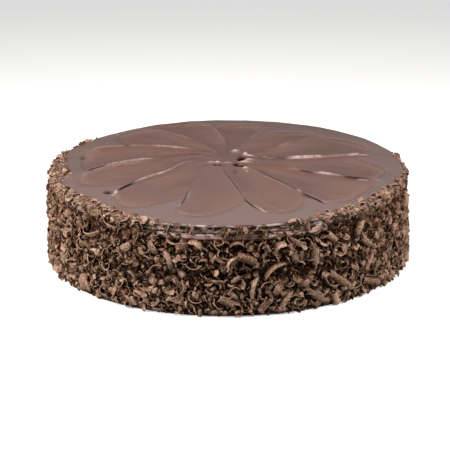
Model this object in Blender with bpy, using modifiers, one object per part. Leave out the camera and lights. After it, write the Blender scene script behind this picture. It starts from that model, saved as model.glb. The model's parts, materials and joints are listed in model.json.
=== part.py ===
"""A whole round chocolate cake: a tall body coated with chocolate shavings, under a slab of spread icing.

Lengths are in metres, +Z is up, and the side with the largest curls faces -Y.
The cake stands on Z = 0 with the Z axis through its middle. Azimuths count anticlockwise from +X.
"""

import math
import random

import bmesh
import bpy
from mathutils import Matrix, Vector

MM = 0.001

# Driving dimensions of the cake
OUTER_RADIUS = 117.5 * MM  # no shaving reaches further out
SIDE_RADIUS = 114.9 * MM  # frosting and its packed coat of crumbs
BODY_HEIGHT = 52.5 * MM
ICING_TOP = 57.8 * MM  # level of the flat band inside the rim
LAYER_GAP = 0.3 * MM

# Body: it swells a little towards the foot, narrows under the icing and has a furrow where the layers meet
FOOT_SWELL = 0.7 * MM
TOP_TAPER = 1.9 * MM
TAPER_START = 38.0 * MM
FURROW_HEIGHT = 26.0 * MM
FURROW_HALF_WIDTH = 4.0 * MM
FURROW_DEPTH = 0.9 * MM
EDGE_ROUNDING = 1.3 * MM
BODY_STEPS = 64
BODY_RINGS = 7
UNEVENNESS = 0.25 * MM

# Icing slab: a thin lip overhangs the plain band of its side
BAND_RADIUS = 112.9 * MM
LIP_RADIUS = 113.8 * MM
LIP_HEIGHT = 1.8 * MM
FLAT_RADIUS = 112.0 * MM
RINGS = (4, 8, 12, 17, 24, 34, 46, 59, 72, 84, 94, 103)  # mm from the middle of the strokes

# Icing relief: twelve strokes of the knife leave spoon-shaped hollows round a point behind the middle
STROKE_MIDDLE = Vector((-3.0 * MM, 18.0 * MM, 0.0))
HOLLOW_DEPTH = 1.0 * MM
LOBE_ROUNDING = 0.16  # how much sooner a hollow ends at its sides than in its middle
LOBE_FADE = 9.0 * MM
CREST_START = 14.0 * MM
CREST_FALL = 0.10  # share of a hollow's width over which a crest falls to a third
BEND_SPAN = 40.0 * MM
BEND_START = 60.0 * MM
COLUMNS = (0.0, 0.06, 0.18, 0.36, 0.58, 0.80, 0.95)  # shares of a hollow's width
# Each crest: its azimuth from the strokes' middle, its turn over BEND_SPAN, its reach and its height
CRESTS = (
    (-23.7, 0.0, 101 * MM, 1.5 * MM),
    (5.0, 0.0, 99 * MM, 1.4 * MM),
    (41.5, -4.0, 93 * MM, 0.8 * MM),
    (69.0, -3.0, 88 * MM, 0.7 * MM),
    (93.0, 3.0, 83 * MM, 0.6 * MM),
    (116.0, 4.0, 80 * MM, 0.6 * MM),
    (147.0, 8.0, 80 * MM, 0.8 * MM),
    (182.0, 11.0, 90 * MM, 1.2 * MM),
    (217.5, 5.0, 97 * MM, 1.5 * MM),
    (250.5, 4.5, 106 * MM, 1.0 * MM),
    (278.0, 3.0, 108 * MM, 1.0 * MM),
    (309.0, -3.5, 107 * MM, 1.1 * MM),
)
# The lifted knife left small peaks: place from the cake's middle, radius and height
PEAKS = (
    (5.0, 13.0, 3.2, 1.9),
    (-5.0, 14.0, 2.4, 1.2),
    (12.0, 26.0, 3.4, 2.4),
    (11.0, 8.0, 2.6, 1.3),
    (25.0, 23.0, 2.6, 1.0),
    (6.0, 37.0, 3.0, 0.7),
)
PITS = ((9.0, 20.5, 2.6, 1.6), (1.0, 8.0, 2.2, 0.8), (-73.0, -47.0, 2.6, 0.9))

# Shavings: thin strips of chocolate, bent along their length
SHAVING_THICKNESS = 0.9 * MM
SHAVING_TAPER = 0.35
BITE = 1.0 * MM  # how deep the innermost corner of a shaving sits in what carries it
FLOOR_CLEARANCE = 0.6 * MM
BARE_BAND = (248.0, 302.0)  # azimuths where frosting shows between the rim and the shavings
BARE_BAND_HEIGHT = 3.2 * MM
# Kinds: share of all, then ranges in mm of length, width and bend radius, and of lean in degrees
KINDS = (
    (0.46, (5.0, 8.0), (4.0, 5.8), (5.0, 10.0), (5, 35)),  # flakes
    (0.26, (9.0, 13.0), (3.0, 4.5), (3.6, 5.5), (45, 85)),  # curls on their edge
    (0.14, (12.0, 17.0), (3.0, 4.2), (9.0, 16.0), (15, 70)),  # strips
    (0.14, (9.5, 12.0), (7.0, 12.0), (2.0, 2.5), (0, 10)),  # rolled scrolls
)
SIDE_ROWS = 4
SIDE_COLUMNS = 40
ROW_SPAN = (6.5 * MM, 48.0 * MM)
SIDE_SEED = 41
# The largest shavings at the front: azimuth, height, spin, lean, length, width and bend radius,
# in degrees and mm. Spin 0 lays the length level, and lean 90 stands the strip on its edge.
LARGE_SHAVINGS = (
    (-77.2, 30.5, 35, -62, 20, 4.2, 11.0),
    (-54.5, 16.5, 53, 0, 12, 19, 2.3),
    (-40.5, 8.0, 70, 0, 12, 17, 2.3),
    (-58.6, 15.0, -40, 80, 16, 3.2, 7.5),
    (-62.5, 8.2, -36, 20, 20, 4.3, 17.0),
    (-47.0, 45.0, 60, -60, 18, 4.4, 8.0),
    (-43.5, 36.0, 50, 0, 11, 10, 2.2),
    (-84.7, 37.5, 68, 0, 11, 12, 2.3),
    (-100.9, 30.5, 0, 80, 13, 3.0, 6.0),
    (-99.5, 48.0, -29, -50, 13, 4.2, 5.0),
    (-104.0, 43.5, 10, 12, 9, 6.5, 9.0),
    (-113.6, 41.5, -57, 15, 10, 5.0, 9.0),
    (-87.4, 48.0, 0, -70, 13, 3.4, 4.6),
    (-63.0, 35.0, 0, 0, 11, 10, 2.2),
    (-140.7, 8.5, 90, 15, 11, 6.5, 9.0),
    (-136.5, 41.0, 16, 40, 16, 3.8, 14.0),
    (-122.8, 39.0, 30, 15, 8, 5.0, 8.0),
    (-79.5, 6.5, -40, 0, 10, 8, 2.1),
)
LARGE_SPACING = 8.5 * MM

# Shavings that creep over the rim, in clusters at both ends of the bare stretch in front
RIM_CLUSTERS = ((160.0, 240.0, 24), (298.0, 356.0, 17))  # from, to, how many
RIM_SEED = 12
RIM_INSET = 8.0 * MM  # how far in from the lip they lie
RIM_SIZES = ((4.0, 7.5), (2.8, 4.4), (3.5, 7.0))  # mm: length, width, bend radius
RIM_LIFT = 2.6 * MM
RIM_TOP_SHARE = 0.55


def clear_scene():
    for obj in list(bpy.data.objects):
        bpy.data.objects.remove(obj)


def new_collection(name):
    collection = bpy.data.collections.new(name)
    bpy.context.scene.collection.children.link(collection)
    return collection


def new_material(name, colour, roughness):
    material = bpy.data.materials.new(name)
    material.use_nodes = True
    shader = material.node_tree.nodes["Principled BSDF"]
    shader.inputs["Base Color"].default_value = (*colour, 1.0)
    shader.inputs["Roughness"].default_value = roughness
    shader.inputs["Metallic"].default_value = 0.0
    return material


def new_object(name, mesh, collection):
    obj = bpy.data.objects.new(name, mesh)
    collection.objects.link(obj)
    return obj


def turned(name, profile, steps, collection):
    """A solid turned about Z from (radius, height) points that run from its top middle down to its foot."""
    mesh = bpy.data.meshes.new(name)
    bm = bmesh.new()
    verts = [bm.verts.new((radius, 0.0, height)) for radius, height in profile]
    for first, second in zip(verts, verts[1:]):
        bm.edges.new((first, second))
    bm.to_mesh(mesh)
    bm.free()
    obj = new_object(name, mesh, collection)
    screw = obj.modifiers.new("turn", "SCREW")
    screw.steps = steps
    screw.render_steps = steps
    screw.use_merge_vertices = True
    screw.merge_threshold = 0.01 * MM
    apply_modifier(obj, screw)
    return obj


def apply_modifier(obj, modifier):
    with bpy.context.temp_override(object=obj, active_object=obj, selected_objects=[obj]):
        bpy.ops.object.modifier_apply(modifier=modifier.name)


def eased(value):
    """0 up to 0, 1 from 1 on, and smooth between."""
    value = min(max(value, 0.0), 1.0)
    return value * value * (3.0 - 2.0 * value)


def side_radius(height):
    """The body's radius at a height, without its rounded edges."""
    swell = FOOT_SWELL * (1.0 - height / BODY_HEIGHT)
    furrow = FURROW_DEPTH * math.exp(-(((height - FURROW_HEIGHT) / FURROW_HALF_WIDTH) ** 2))
    taper = TOP_TAPER * eased((height - TAPER_START) / (BODY_HEIGHT - TAPER_START))
    return SIDE_RADIUS + swell - furrow - taper


def unevenness(azimuth, height):
    """Slow waves round the side, as a knife leaves them."""
    phase = height / BODY_HEIGHT * math.pi
    return UNEVENNESS * (math.sin(5 * azimuth + 2.0 * phase) + 0.6 * math.sin(11 * azimuth - 3.0 * phase)) / 1.6


def make_body(collection):
    low, high = EDGE_ROUNDING, BODY_HEIGHT - EDGE_ROUNDING
    heights = [high + (low - high) * i / BODY_RINGS for i in range(BODY_RINGS + 1)]
    profile = [(0.0, BODY_HEIGHT), (side_radius(high) - EDGE_ROUNDING, BODY_HEIGHT)]
    profile += [(side_radius(height), height) for height in heights]
    profile += [(side_radius(low) - EDGE_ROUNDING, 0.0), (0.0, 0.0)]
    body = turned("cake_body", profile, BODY_STEPS, collection)
    for vert in body.data.vertices:
        if low - 0.1 * MM < vert.co.z < high + 0.1 * MM:
            radius = vert.co.xy.length
            scale = 1.0 + unevenness(math.atan2(vert.co.y, vert.co.x), vert.co.z) / radius
            vert.co.x *= scale
            vert.co.y *= scale
    return body


def crest_azimuth(index, distance):
    """A crest's azimuth in degrees at a distance from the strokes' middle; crests are counted round and round."""
    turns, place = divmod(index, len(CRESTS))
    azimuth, bend = CRESTS[place][:2]
    return azimuth + bend * (distance - BEND_START) / BEND_SPAN + 360.0 * turns


def column_azimuth(column, distance):
    """The azimuth in radians of one of the grid's columns, which follow the crests."""
    index, step = divmod(column, len(COLUMNS))
    first = crest_azimuth(index, distance)
    second = crest_azimuth(index + 1, distance)
    return math.radians(first + COLUMNS[step] * (second - first))


def stroke_point(column, distance):
    azimuth = column_azimuth(column, distance)
    return STROKE_MIDDLE + distance * Vector((math.cos(azimuth), math.sin(azimuth), 0.0))


def edge_distance(column):
    """How far from the strokes' middle a column meets the edge of the flat top."""
    low, high = 0.5 * FLAT_RADIUS, 1.5 * FLAT_RADIUS
    for _ in range(30):
        middle = (low + high) / 2
        if stroke_point(column, middle).length < FLAT_RADIUS:
            low = middle
        else:
            high = middle
    return low


def bumps(point, table):
    """The summed heights in metres of round bumps, each given in mm."""
    total = 0.0
    for x, y, radius, height in table:
        away = (point.xy - Vector((x * MM, y * MM))).length / (radius * MM)
        total += height * MM * math.exp(-away * away)
    return total


def relief(column, distance):
    """Height over the flat band at a column and a distance: crests, hollows and the peaks in the middle."""
    index, step = divmod(column, len(COLUMNS))
    share = COLUMNS[step]
    reach, height = CRESTS[index % len(CRESTS)][2:]
    next_reach = CRESTS[(index + 1) % len(CRESTS)][2]
    side = abs(2.0 * share - 1.0) ** 3
    lobe = (reach + share * (next_reach - reach)) * (1.0 - LOBE_ROUNDING * side)
    inside = eased((lobe - distance) / LOBE_FADE + 0.5) * eased(distance / CREST_START)
    hollow = HOLLOW_DEPTH * math.sin(math.pi * share) ** 0.8 * inside
    grown = eased(distance / CREST_START) * eased((reach - distance) / LOBE_FADE)
    crest = height * math.exp(-share / CREST_FALL) * grown
    point = stroke_point(column, distance)
    return crest - hollow + bumps(point, PEAKS) - bumps(point, PITS)


def make_icing(collection):
    """The slab is turned with one step for each column, then its grid is drawn along the strokes."""
    foot = BODY_HEIGHT + LAYER_GAP
    under_lip = ICING_TOP - LIP_HEIGHT
    reach = max(RINGS) * MM
    columns = len(COLUMNS) * len(CRESTS)
    profile = [(0.0, ICING_TOP)]
    profile += [(ring * MM, ICING_TOP) for ring in RINGS]
    profile += [
        (FLAT_RADIUS, ICING_TOP),
        (LIP_RADIUS - 0.5 * MM, ICING_TOP - 0.25 * MM),
        (LIP_RADIUS, ICING_TOP - 0.9 * MM),
        (LIP_RADIUS - 0.2 * MM, under_lip),
        (BAND_RADIUS, under_lip - 0.5 * MM),
        (BAND_RADIUS, foot),
        (0.0, foot),
    ]
    icing = turned("icing_top", profile, columns, collection)
    edges = [edge_distance(column) for column in range(columns)]
    for vert in icing.data.vertices:
        radius = vert.co.xy.length
        if radius < 0.1 * MM:
            if vert.co.z > under_lip:
                vert.co = STROKE_MIDDLE + Vector((0.0, 0.0, ICING_TOP + relief(0, 0.0)))
            continue
        column = round(math.atan2(vert.co.y, vert.co.x) / math.tau * columns) % columns
        if vert.co.z > ICING_TOP - 0.01 * MM and radius < FLAT_RADIUS - 0.01 * MM:
            distance = radius if radius < reach / 2 else stretched(radius, reach, edges[column])
            point = stroke_point(column, distance)
            point.z = ICING_TOP + relief(column, distance)
            vert.co = point
        else:
            edge = stroke_point(column, edges[column])
            vert.co.x = edge.x / edge.length * radius
            vert.co.y = edge.y / edge.length * radius
    return icing


def stretched(radius, reach, edge):
    """Spreads the outer half of the rings so that the last one lies just inside the edge of the flat top."""
    start = reach / 2
    end = edge - (FLAT_RADIUS - reach) * 0.6
    return start + (radius - start) / (reach - start) * (end - start)


def shaving(length, width, bend_radius, twist):
    """A strip along X, bent down at both ends, its outer face up and its width along Y."""
    segments = max(2, round(length / bend_radius * 1.1))
    bm = bmesh.new()
    bmesh.ops.create_cube(bm, size=1.0)
    along = [edge for edge in bm.edges if abs(edge.verts[0].co.x - edge.verts[1].co.x) > 0.5]
    bmesh.ops.subdivide_edges(bm, edges=along, cuts=segments - 1, use_grid_fill=True)
    for vert in bm.verts:
        share = vert.co.x
        turn = share * length / bend_radius
        radius = bend_radius + vert.co.z * SHAVING_THICKNESS
        across = vert.co.y * width * (1.0 - SHAVING_TAPER * (2.0 * share) ** 2)
        point = Vector((radius * math.sin(turn), across, radius * math.cos(turn) - bend_radius))
        vert.co = Matrix.Rotation(share * twist, 3, "X") @ point
    return bm


def side_frame(azimuth, spin, lean):
    """Turns a strip so that it lies on the side at an azimuth: its outer face out, its length at the spin."""
    outward = Vector((math.cos(azimuth), math.sin(azimuth), 0.0))
    along = Vector((-math.sin(azimuth), math.cos(azimuth), 0.0))
    lie = Matrix((along, Vector((0.0, 0.0, 1.0)), outward)).transposed()
    return lie @ Matrix.Rotation(spin, 3, "Z") @ Matrix.Rotation(lean, 3, "X")


def seat_on_side(bm, azimuth, height, low, high):
    """Moves a turned strip in or out until it bites into the side, and up or down between two heights."""
    outward = Vector((math.cos(azimuth), math.sin(azimuth), 0.0))
    depths = [vert.co.dot(outward) for vert in bm.verts]
    radius = side_radius(height) - BITE - min(depths)
    radius = min(radius, OUTER_RADIUS - max(depths))
    shift = outward * radius
    overrun = max((vert.co + shift).xy.length for vert in bm.verts) - OUTER_RADIUS
    shift -= outward * max(overrun, 0.0)
    top = max(vert.co.z for vert in bm.verts)
    bottom = min(vert.co.z for vert in bm.verts)
    shift.z = max(min(height, high - top), low - bottom)
    bmesh.ops.translate(bm, verts=bm.verts, vec=shift)


def add_shaving(name, bm, collection):
    mesh = bpy.data.meshes.new(name)
    bm.to_mesh(mesh)
    bm.free()
    new_object(name, mesh, collection)


def side_top(azimuth):
    """The highest that shavings on the body reach at an azimuth."""
    first, last = BARE_BAND
    middle, half = (first + last) / 2, (last - first) / 2
    away = abs((math.degrees(azimuth) - middle + 180.0) % 360.0 - 180.0)
    return BODY_HEIGHT - 0.2 * MM - BARE_BAND_HEIGHT * eased((half - away) / 6.0 + 0.5)


def add_side_shaving(name, azimuth, height, spin, lean, length, width, bend_radius, twist, collection):
    bm = shaving(length, width, bend_radius, twist)
    bmesh.ops.transform(bm, matrix=side_frame(azimuth, spin, lean).to_4x4(), verts=bm.verts)
    seat_on_side(bm, azimuth, height, FLOOR_CLEARANCE, side_top(azimuth))
    add_shaving(name, bm, collection)


def pick_kind(rng):
    draw = rng.random()
    for share, *ranges in KINDS:
        if draw < share:
            return ranges
        draw -= share
    return KINDS[-1][1:]


def near_large_shaving(azimuth, height):
    for place, level, *_ in LARGE_SHAVINGS:
        turn = (math.degrees(azimuth) - place + 180.0) % 360.0 - 180.0
        along = math.radians(turn) * SIDE_RADIUS
        if math.hypot(along, height - level * MM) < LARGE_SPACING:
            return True
    return False


def cover_side(collection):
    """Large shavings at their own places, then rows of mixed ones all round, each moved a little off its place."""
    for index, (azimuth, height, spin, lean, length, width, bend_radius) in enumerate(LARGE_SHAVINGS):
        angles = [math.radians(angle) for angle in (azimuth, spin, lean)]
        sizes = [size * MM for size in (length, width, bend_radius)]
        add_side_shaving(f"large_{index}", angles[0], height * MM, *angles[1:], *sizes, 0.0, collection)
    rng = random.Random(SIDE_SEED)
    low, high = ROW_SPAN
    for row in range(SIDE_ROWS):
        for column in range(SIDE_COLUMNS):
            azimuth = math.tau * (column + 0.5 * (row % 2) + rng.uniform(-0.3, 0.3)) / SIDE_COLUMNS
            height = low + (high - low) * (row + rng.uniform(-0.3, 0.3)) / (SIDE_ROWS - 1)
            lengths, widths, bends, leans = pick_kind(rng)
            sizes = [rng.uniform(*span) * MM for span in (lengths, widths, bends)]
            spin = rng.uniform(0.0, math.tau)
            lean = math.radians(rng.uniform(*leans)) * rng.choice((-1, 1))
            twist = rng.uniform(-0.5, 0.5)
            if near_large_shaving(azimuth, height):
                continue
            add_side_shaving(f"side_{row}_{column}", azimuth, height, spin, lean, *sizes, twist, collection)


def cover_rim(collection):
    """Shavings that lie on the edge of the flat top or cling to the slab's side."""
    rng = random.Random(RIM_SEED)
    lowest = BODY_HEIGHT + LAYER_GAP
    for first, last, count in RIM_CLUSTERS:
        for index in range(count):
            share = (index + rng.uniform(0.1, 0.9)) / count
            azimuth = math.radians(first + (last - first) * share)
            sizes = [rng.uniform(*span) * MM for span in RIM_SIZES]
            bm = shaving(*sizes, rng.uniform(-0.5, 0.5))
            spin = rng.uniform(0.0, math.tau)
            lean = math.radians(rng.uniform(10, 55)) * rng.choice((-1, 1))
            inset = rng.random() ** 1.5 * RIM_INSET * math.sin(math.pi * share)
            if rng.random() < RIM_TOP_SHARE:
                turn = Matrix.Rotation(azimuth, 3, "Z") @ Matrix.Rotation(spin, 3, "Z")
                turn = turn @ Matrix.Rotation(lean, 3, "X")
                bmesh.ops.transform(bm, matrix=turn.to_4x4(), verts=bm.verts)
                seat_on_top(bm, azimuth, FLAT_RADIUS - inset)
            else:
                bmesh.ops.transform(bm, matrix=side_frame(azimuth, spin, lean).to_4x4(), verts=bm.verts)
                seat_on_band(bm, azimuth, lowest)
            add_shaving(f"rim_{round(first)}_{index}", bm, collection)


def seat_on_top(bm, azimuth, radius):
    """Sets a turned strip down on the flat top at a radius, no higher than RIM_LIFT over it."""
    bottom = min(vert.co.z for vert in bm.verts)
    top = max(vert.co.z for vert in bm.verts)
    shift = Vector((math.cos(azimuth), math.sin(azimuth), 0.0)) * radius
    shift.z = ICING_TOP + min(-BITE - bottom, RIM_LIFT - top)
    bmesh.ops.translate(bm, verts=bm.verts, vec=shift)


def seat_on_band(bm, azimuth, lowest):
    """Presses a turned strip against the slab's side, clear of the body below."""
    outward = Vector((math.cos(azimuth), math.sin(azimuth), 0.0))
    depths = [vert.co.dot(outward) for vert in bm.verts]
    shift = outward * min(BAND_RADIUS - BITE - min(depths), OUTER_RADIUS - 0.4 * MM - max(depths))
    shift.z = lowest - min(vert.co.z for vert in bm.verts)
    bmesh.ops.translate(bm, verts=bm.verts, vec=shift)


def fuse(target, pieces):
    """Joins every object of a collection to the target, and drops what stays loose."""
    union = target.modifiers.new("fuse", "BOOLEAN")
    union.operation = "UNION"
    union.operand_type = "COLLECTION"
    union.collection = pieces
    union.solver = "EXACT"
    apply_modifier(target, union)
    for obj in list(pieces.objects):
        bpy.data.objects.remove(obj)
    bpy.data.collections.remove(pieces)
    keep_largest_body(target.data)


def keep_largest_body(mesh):
    """Deletes all but the largest closed surface, so scraps go and sealed hollows are filled."""
    bm = bmesh.new()
    bm.from_mesh(mesh)
    unseen = set(bm.faces)
    surfaces = []
    while unseen:
        surface = [unseen.pop()]
        for face in surface:
            touching = {other for edge in face.edges for other in edge.link_faces}
            surface.extend(touching & unseen)
            unseen -= touching
        surfaces.append(surface)
    surfaces.sort(key=len)
    loose = [face for surface in surfaces[:-1] for face in surface]
    bmesh.ops.delete(bm, geom=loose, context="FACES")
    bm.to_mesh(mesh)
    bm.free()


def finish(obj, material):
    obj.data.materials.clear()
    obj.data.materials.append(material)
    obj.data.shade_smooth()
    obj.data.set_sharp_from_angle(angle=math.radians(40))


def main():
    clear_scene()
    parts = new_collection("chocolate_cake")
    body = make_body(parts)
    side_pieces = new_collection("side_shavings")
    cover_side(side_pieces)
    fuse(body, side_pieces)
    finish(body, new_material("shaved_chocolate", (0.156, 0.085, 0.052), 0.62))
    icing = make_icing(parts)
    rim_pieces = new_collection("rim_shavings")
    cover_rim(rim_pieces)
    fuse(icing, rim_pieces)
    finish(icing, new_material("chocolate_icing", (0.165, 0.085, 0.065), 0.28))


if __name__ == "__main__":
    main()
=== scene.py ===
"""Dresses the solids of a whole chocolate cake with spread icing, a frosted side and its coat of shavings.

Lengths are in metres, +Z is up, and the side with the largest curls faces -Y. Azimuths count anticlockwise
from +X. The sizes of the cake's body, its icing and its larger shavings are those of the solids.
"""

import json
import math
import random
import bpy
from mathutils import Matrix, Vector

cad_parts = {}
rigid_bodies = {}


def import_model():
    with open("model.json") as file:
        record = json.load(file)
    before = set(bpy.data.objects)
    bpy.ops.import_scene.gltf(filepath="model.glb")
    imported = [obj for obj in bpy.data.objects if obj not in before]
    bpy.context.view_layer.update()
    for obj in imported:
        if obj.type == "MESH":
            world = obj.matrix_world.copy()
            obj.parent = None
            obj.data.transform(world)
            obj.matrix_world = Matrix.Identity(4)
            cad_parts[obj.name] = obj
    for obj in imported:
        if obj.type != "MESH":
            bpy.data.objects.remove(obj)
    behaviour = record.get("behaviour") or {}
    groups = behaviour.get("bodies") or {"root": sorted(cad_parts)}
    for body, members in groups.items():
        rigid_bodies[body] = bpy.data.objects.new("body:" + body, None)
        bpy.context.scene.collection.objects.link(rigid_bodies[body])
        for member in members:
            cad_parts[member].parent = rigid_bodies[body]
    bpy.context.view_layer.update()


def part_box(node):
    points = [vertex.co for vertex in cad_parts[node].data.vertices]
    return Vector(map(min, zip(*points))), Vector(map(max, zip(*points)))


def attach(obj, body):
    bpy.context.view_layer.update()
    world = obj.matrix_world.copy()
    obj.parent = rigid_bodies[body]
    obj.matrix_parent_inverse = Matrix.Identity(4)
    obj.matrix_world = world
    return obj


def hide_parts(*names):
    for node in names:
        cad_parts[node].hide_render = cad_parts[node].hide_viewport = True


bl_info = {
    "name": "Chocolate Cake",
    "version": (1, 0, 0),
    "blender": (4, 5, 0),
    "location": "3D Viewport > Sidebar > Cake",
    "description": "Builds a chocolate cake with spread icing and a coat of chocolate shavings",
    "category": "Add Mesh",
}

import bpy
import numpy as np
from bpy.props import FloatProperty, FloatVectorProperty, IntProperty, PointerProperty
from mathutils import Matrix, Vector, noise

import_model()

MM = 0.001
BODY_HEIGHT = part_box("cake_body")[1][2]
OUTER_RADIUS = 117.5 * MM
NOISE_RADIUS = 115 * MM  # the circle on which noise round the side is read

# Body, as in the solids
SIDE_RADIUS = 114.9 * MM
FOOT_SWELL = 0.7 * MM
TOP_TAPER = 1.9 * MM
TAPER_START = 38.0 * MM
FURROW_HEIGHT = 26.0 * MM
FURROW_HALF_WIDTH = 4.0 * MM
FURROW_DEPTH = 0.9 * MM
EDGE_ROUNDING = 1.3 * MM

# Icing slab, as in the solids
ICING_TOP = 57.8 * MM
LAYER_GAP = 0.3 * MM
BAND_RADIUS = 112.9 * MM
LIP_RADIUS = 113.8 * MM
LIP_HEIGHT = 1.8 * MM
FLAT_RADIUS = 112.0 * MM

# Strokes of the knife, as in the solids but bent a little more: for each crest its azimuths in degrees at
# the distances of CREST_KNOTS from the middle
STROKE_MIDDLE = np.array((-3.0 * MM, 18.0 * MM))
CREST_KNOTS = np.array((20, 40, 60, 80, 110)) * MM
CREST_LINES = np.array((
    (-21, -22.5, -24.5, -24.5, -24), (13, 7, 6, 7, 4), (42, 41.5, 41, 40.5, 42), (72, 70.5, 69.5, 69, 69),
    (84, 87.5, 92, 95, 97), (101, 109, 115.5, 120.5, 129), (114, 134, 145, 155.5, 172),
    (135, 168, 180, 188, 203), (186, 211, 217, 220.5, 229), (230, 245, 250, 253, 255),
    (272, 277, 279, 279.3, 283), (322, 312.5, 309, 306.5, 305),
))
# Each crest: its reach, height and start in mm, and how much of it is a broad slope rather than a thin lip
CRESTS = np.array((
    (106, 1, 46, 0.35), (100, 1.1, 30, 0.7), (92, 0.7, 46, 0.5), (88, 0.7, 42, 0.4), (83, 0.7, 42, 0.4),
    (90, 0.7, 48, 0.5), (94, 0.9, 30, 0.4), (96, 1, 44, 0.55), (100, 1.2, 20, 0.3), (114, 0.8, 62, 0.25),
    (111, 0.7, 9, 0.25), (110, 0.6, 20, 0.35),
))
# Where the hollow after each crest ends, in mm from the middle, at shares of the way to the next crest
HOLLOW_SHARES = np.array((0.0, 0.25, 0.5, 0.75, 1.0))
HOLLOW_ENDS = np.array((
    (107, 108, 105, 92, 84), (101, 101, 97, 90, 82), (90, 86, 80, 74, 68), (80, 84, 84, 82, 76),
    (84, 92, 94, 93, 90), (90, 94, 92, 82, 72), (94, 94, 93, 93, 92), (94, 102, 98, 87, 76),
    (98, 111, 106, 93, 78), (113, 114, 107, 95, 84), (110, 112, 110, 101, 88), (109, 115, 112, 110, 106),
))
# Peaks and pits of the swirl in the middle and of the strokes' ends, in mm: place, half widths across and
# deep, and height
PEAKS = (
    (4.8, 40.5, 2.2, 2.8, 1), (11.5, 33, 1.5, 2.6, 1.5), (14.8, 30, 2.4, 1.4, 0.9),
    (13.4, 20.8, 2.8, 2, 0.8), (10.6, 15.4, 3.8, 1.4, 1.2), (11.2, 3, 1.5, 1.8, 1.1),
    (12.2, -3, 0.9, 1.4, 0.7), (-6.7, 14.8, 1.5, 1.8, 1.1), (-11, 15.5, 2, 1.4, 0.7),
    (-0.5, 14, 2.8, 1.2, 0.6), (23.6, 25, 1.4, 1.2, 0.9),
)
PITS = (
    (8.6, 22, 1.9, 4, 2.4), (13.5, 25.6, 2.8, 1.4, 1.5), (5.3, 11.2, 1.7, 3.2, 1.2),
    (9.8, 7.6, 2.4, 1.4, 2.2), (-6.6, 9.9, 2.3, 1.1, 1.9), (4.6, -3, 1.3, 4.5, 0.3),
    (-75, -46.5, 2, 2, 1.6), (-95, 29, 1.8, 1.8, 0.7), (-67, 53, 1.8, 1.8, 0.6),
)
PIT_SHADE_DEPTH = 1.0 * MM  # a pit this deep gets the darkest painted shade
PEAK_HIGHLIGHT_HEIGHT = 0.95 * MM  # a peak this high gets the palest painted highlight
# Small bubbles and grains in the icing, in mm as above
SPECKS = (
    (-46.6, 40.9, 1.1, 1.1, 0.5), (55.5, -58.9, 0.8, 0.8, 0.4), (70.3, -71.1, 1, 1, 0.6),
    (54.5, -84.3, 0.9, 0.9, -0.4), (9.2, -57.9, 0.7, 0.7, 0.3), (20, -66, 0.8, 0.8, 0.35),
    (84, 26, 1.5, 1.5, 0.5), (-102, -10.2, 1.2, 1.2, -0.5),
)
# Fine lines along the crests, in mm: crest, from and to distance, place across (over 0 on the side of the
# crest's own hollow), half width, height (under 0 for a crease) and look (painted highlight over 0, painted
# shade under it)
LINES = (
    (0, 31, 56, 0.3, 0.9, 0, 0.1), (0, 52, 65, -0.5, 0.5, -0.3, -0.8), (0, 66, 79, 0, 0.55, 0.3, 0.75),
    (0, 80, 104, -0.5, 0.6, -0.7, -0.95), (0, 93, 102, -2, 0.9, 0.3, 1), (0, 101, 110, 0.4, 0.6, 0.2, 0.5),
    (0, 84, 99, -2.8, 1.5, 0, -0.34), (1, 24, 31, 0.3, 1, 0.1, -0.6), (1, 28, 45, -0.5, 0.6, -0.3, -0.7),
    (1, 28, 44, 1, 0.7, 0.1, 0.3), (1, 41, 68, -0.2, 0.8, 0.5, 0.85), (1, 66, 84, 0.5, 1.6, 0.2, 0.14),
    (1, 82, 91, 0.5, 1.6, 0.4, 0.4), (2, 47, 62, 0, 2.2, 0.3, 0.2), (2, 60, 92, 0, 0.9, 0, 0.14),
    (3, 44, 86, 0, 0.6, 0, 0.16), (4, 46, 80, 0, 0.6, 0, 0.16), (5, 48, 90, 0, 0.7, 0, 0.2),
    (6, 34, 60, 0, 1, 0.3, 0.48), (6, 58, 92, 0, 1, 0.1, 0.2), (7, 42, 90, 2.6, 3.2, 0.2, 0.28),
    (7, 42, 76, 0, 0.8, 0.2, 0.45), (7, 75, 92, 0.6, 0.65, -0.6, -0.95), (7, 76, 94, -0.5, 0.7, 0.1, 0.6),
    (8, 14, 76, 0, 0.5, 0.25, 0.45), (8, 38, 76, 0, 0.5, 0.2, 0.55), (8, 71, 92, 0.5, 0.65, -0.7, -1),
    (8, 90, 100, 0.4, 1, 0.3, 0.9), (9, 64, 100, 0, 0.5, -0.3, -0.75), (9, 65, 81, 0.9, 0.5, 0.1, 0.4),
    (9, 92, 98, -0.6, 0.6, 0.1, 0.6), (10, 7, 83, -0.3, 0.38, -0.25, -0.55),
    (10, 8, 84, 0.5, 0.45, 0.1, 0.28), (10, 79, 105, -0.2, 0.5, -0.5, -0.95),
    (10, 80, 106, 0.8, 0.5, 0.1, 0.55), (10, 93, 111, 1.8, 1, 0.1, 0.7),
    (11, 22, 80, -0.3, 0.5, -0.2, -0.5), (11, 22, 80, -1.6, 0.7, 0.1, 0.2), (11, 77, 84, 0, 0.9, 0.3, 0.7),
    (11, 82, 111, -0.5, 0.6, -0.7, -1), (11, 84, 98, -2.4, 0.5, -0.3, -0.8),
    (11, 83, 111, 0.5, 0.5, 0.1, 0.6),
)

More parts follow.
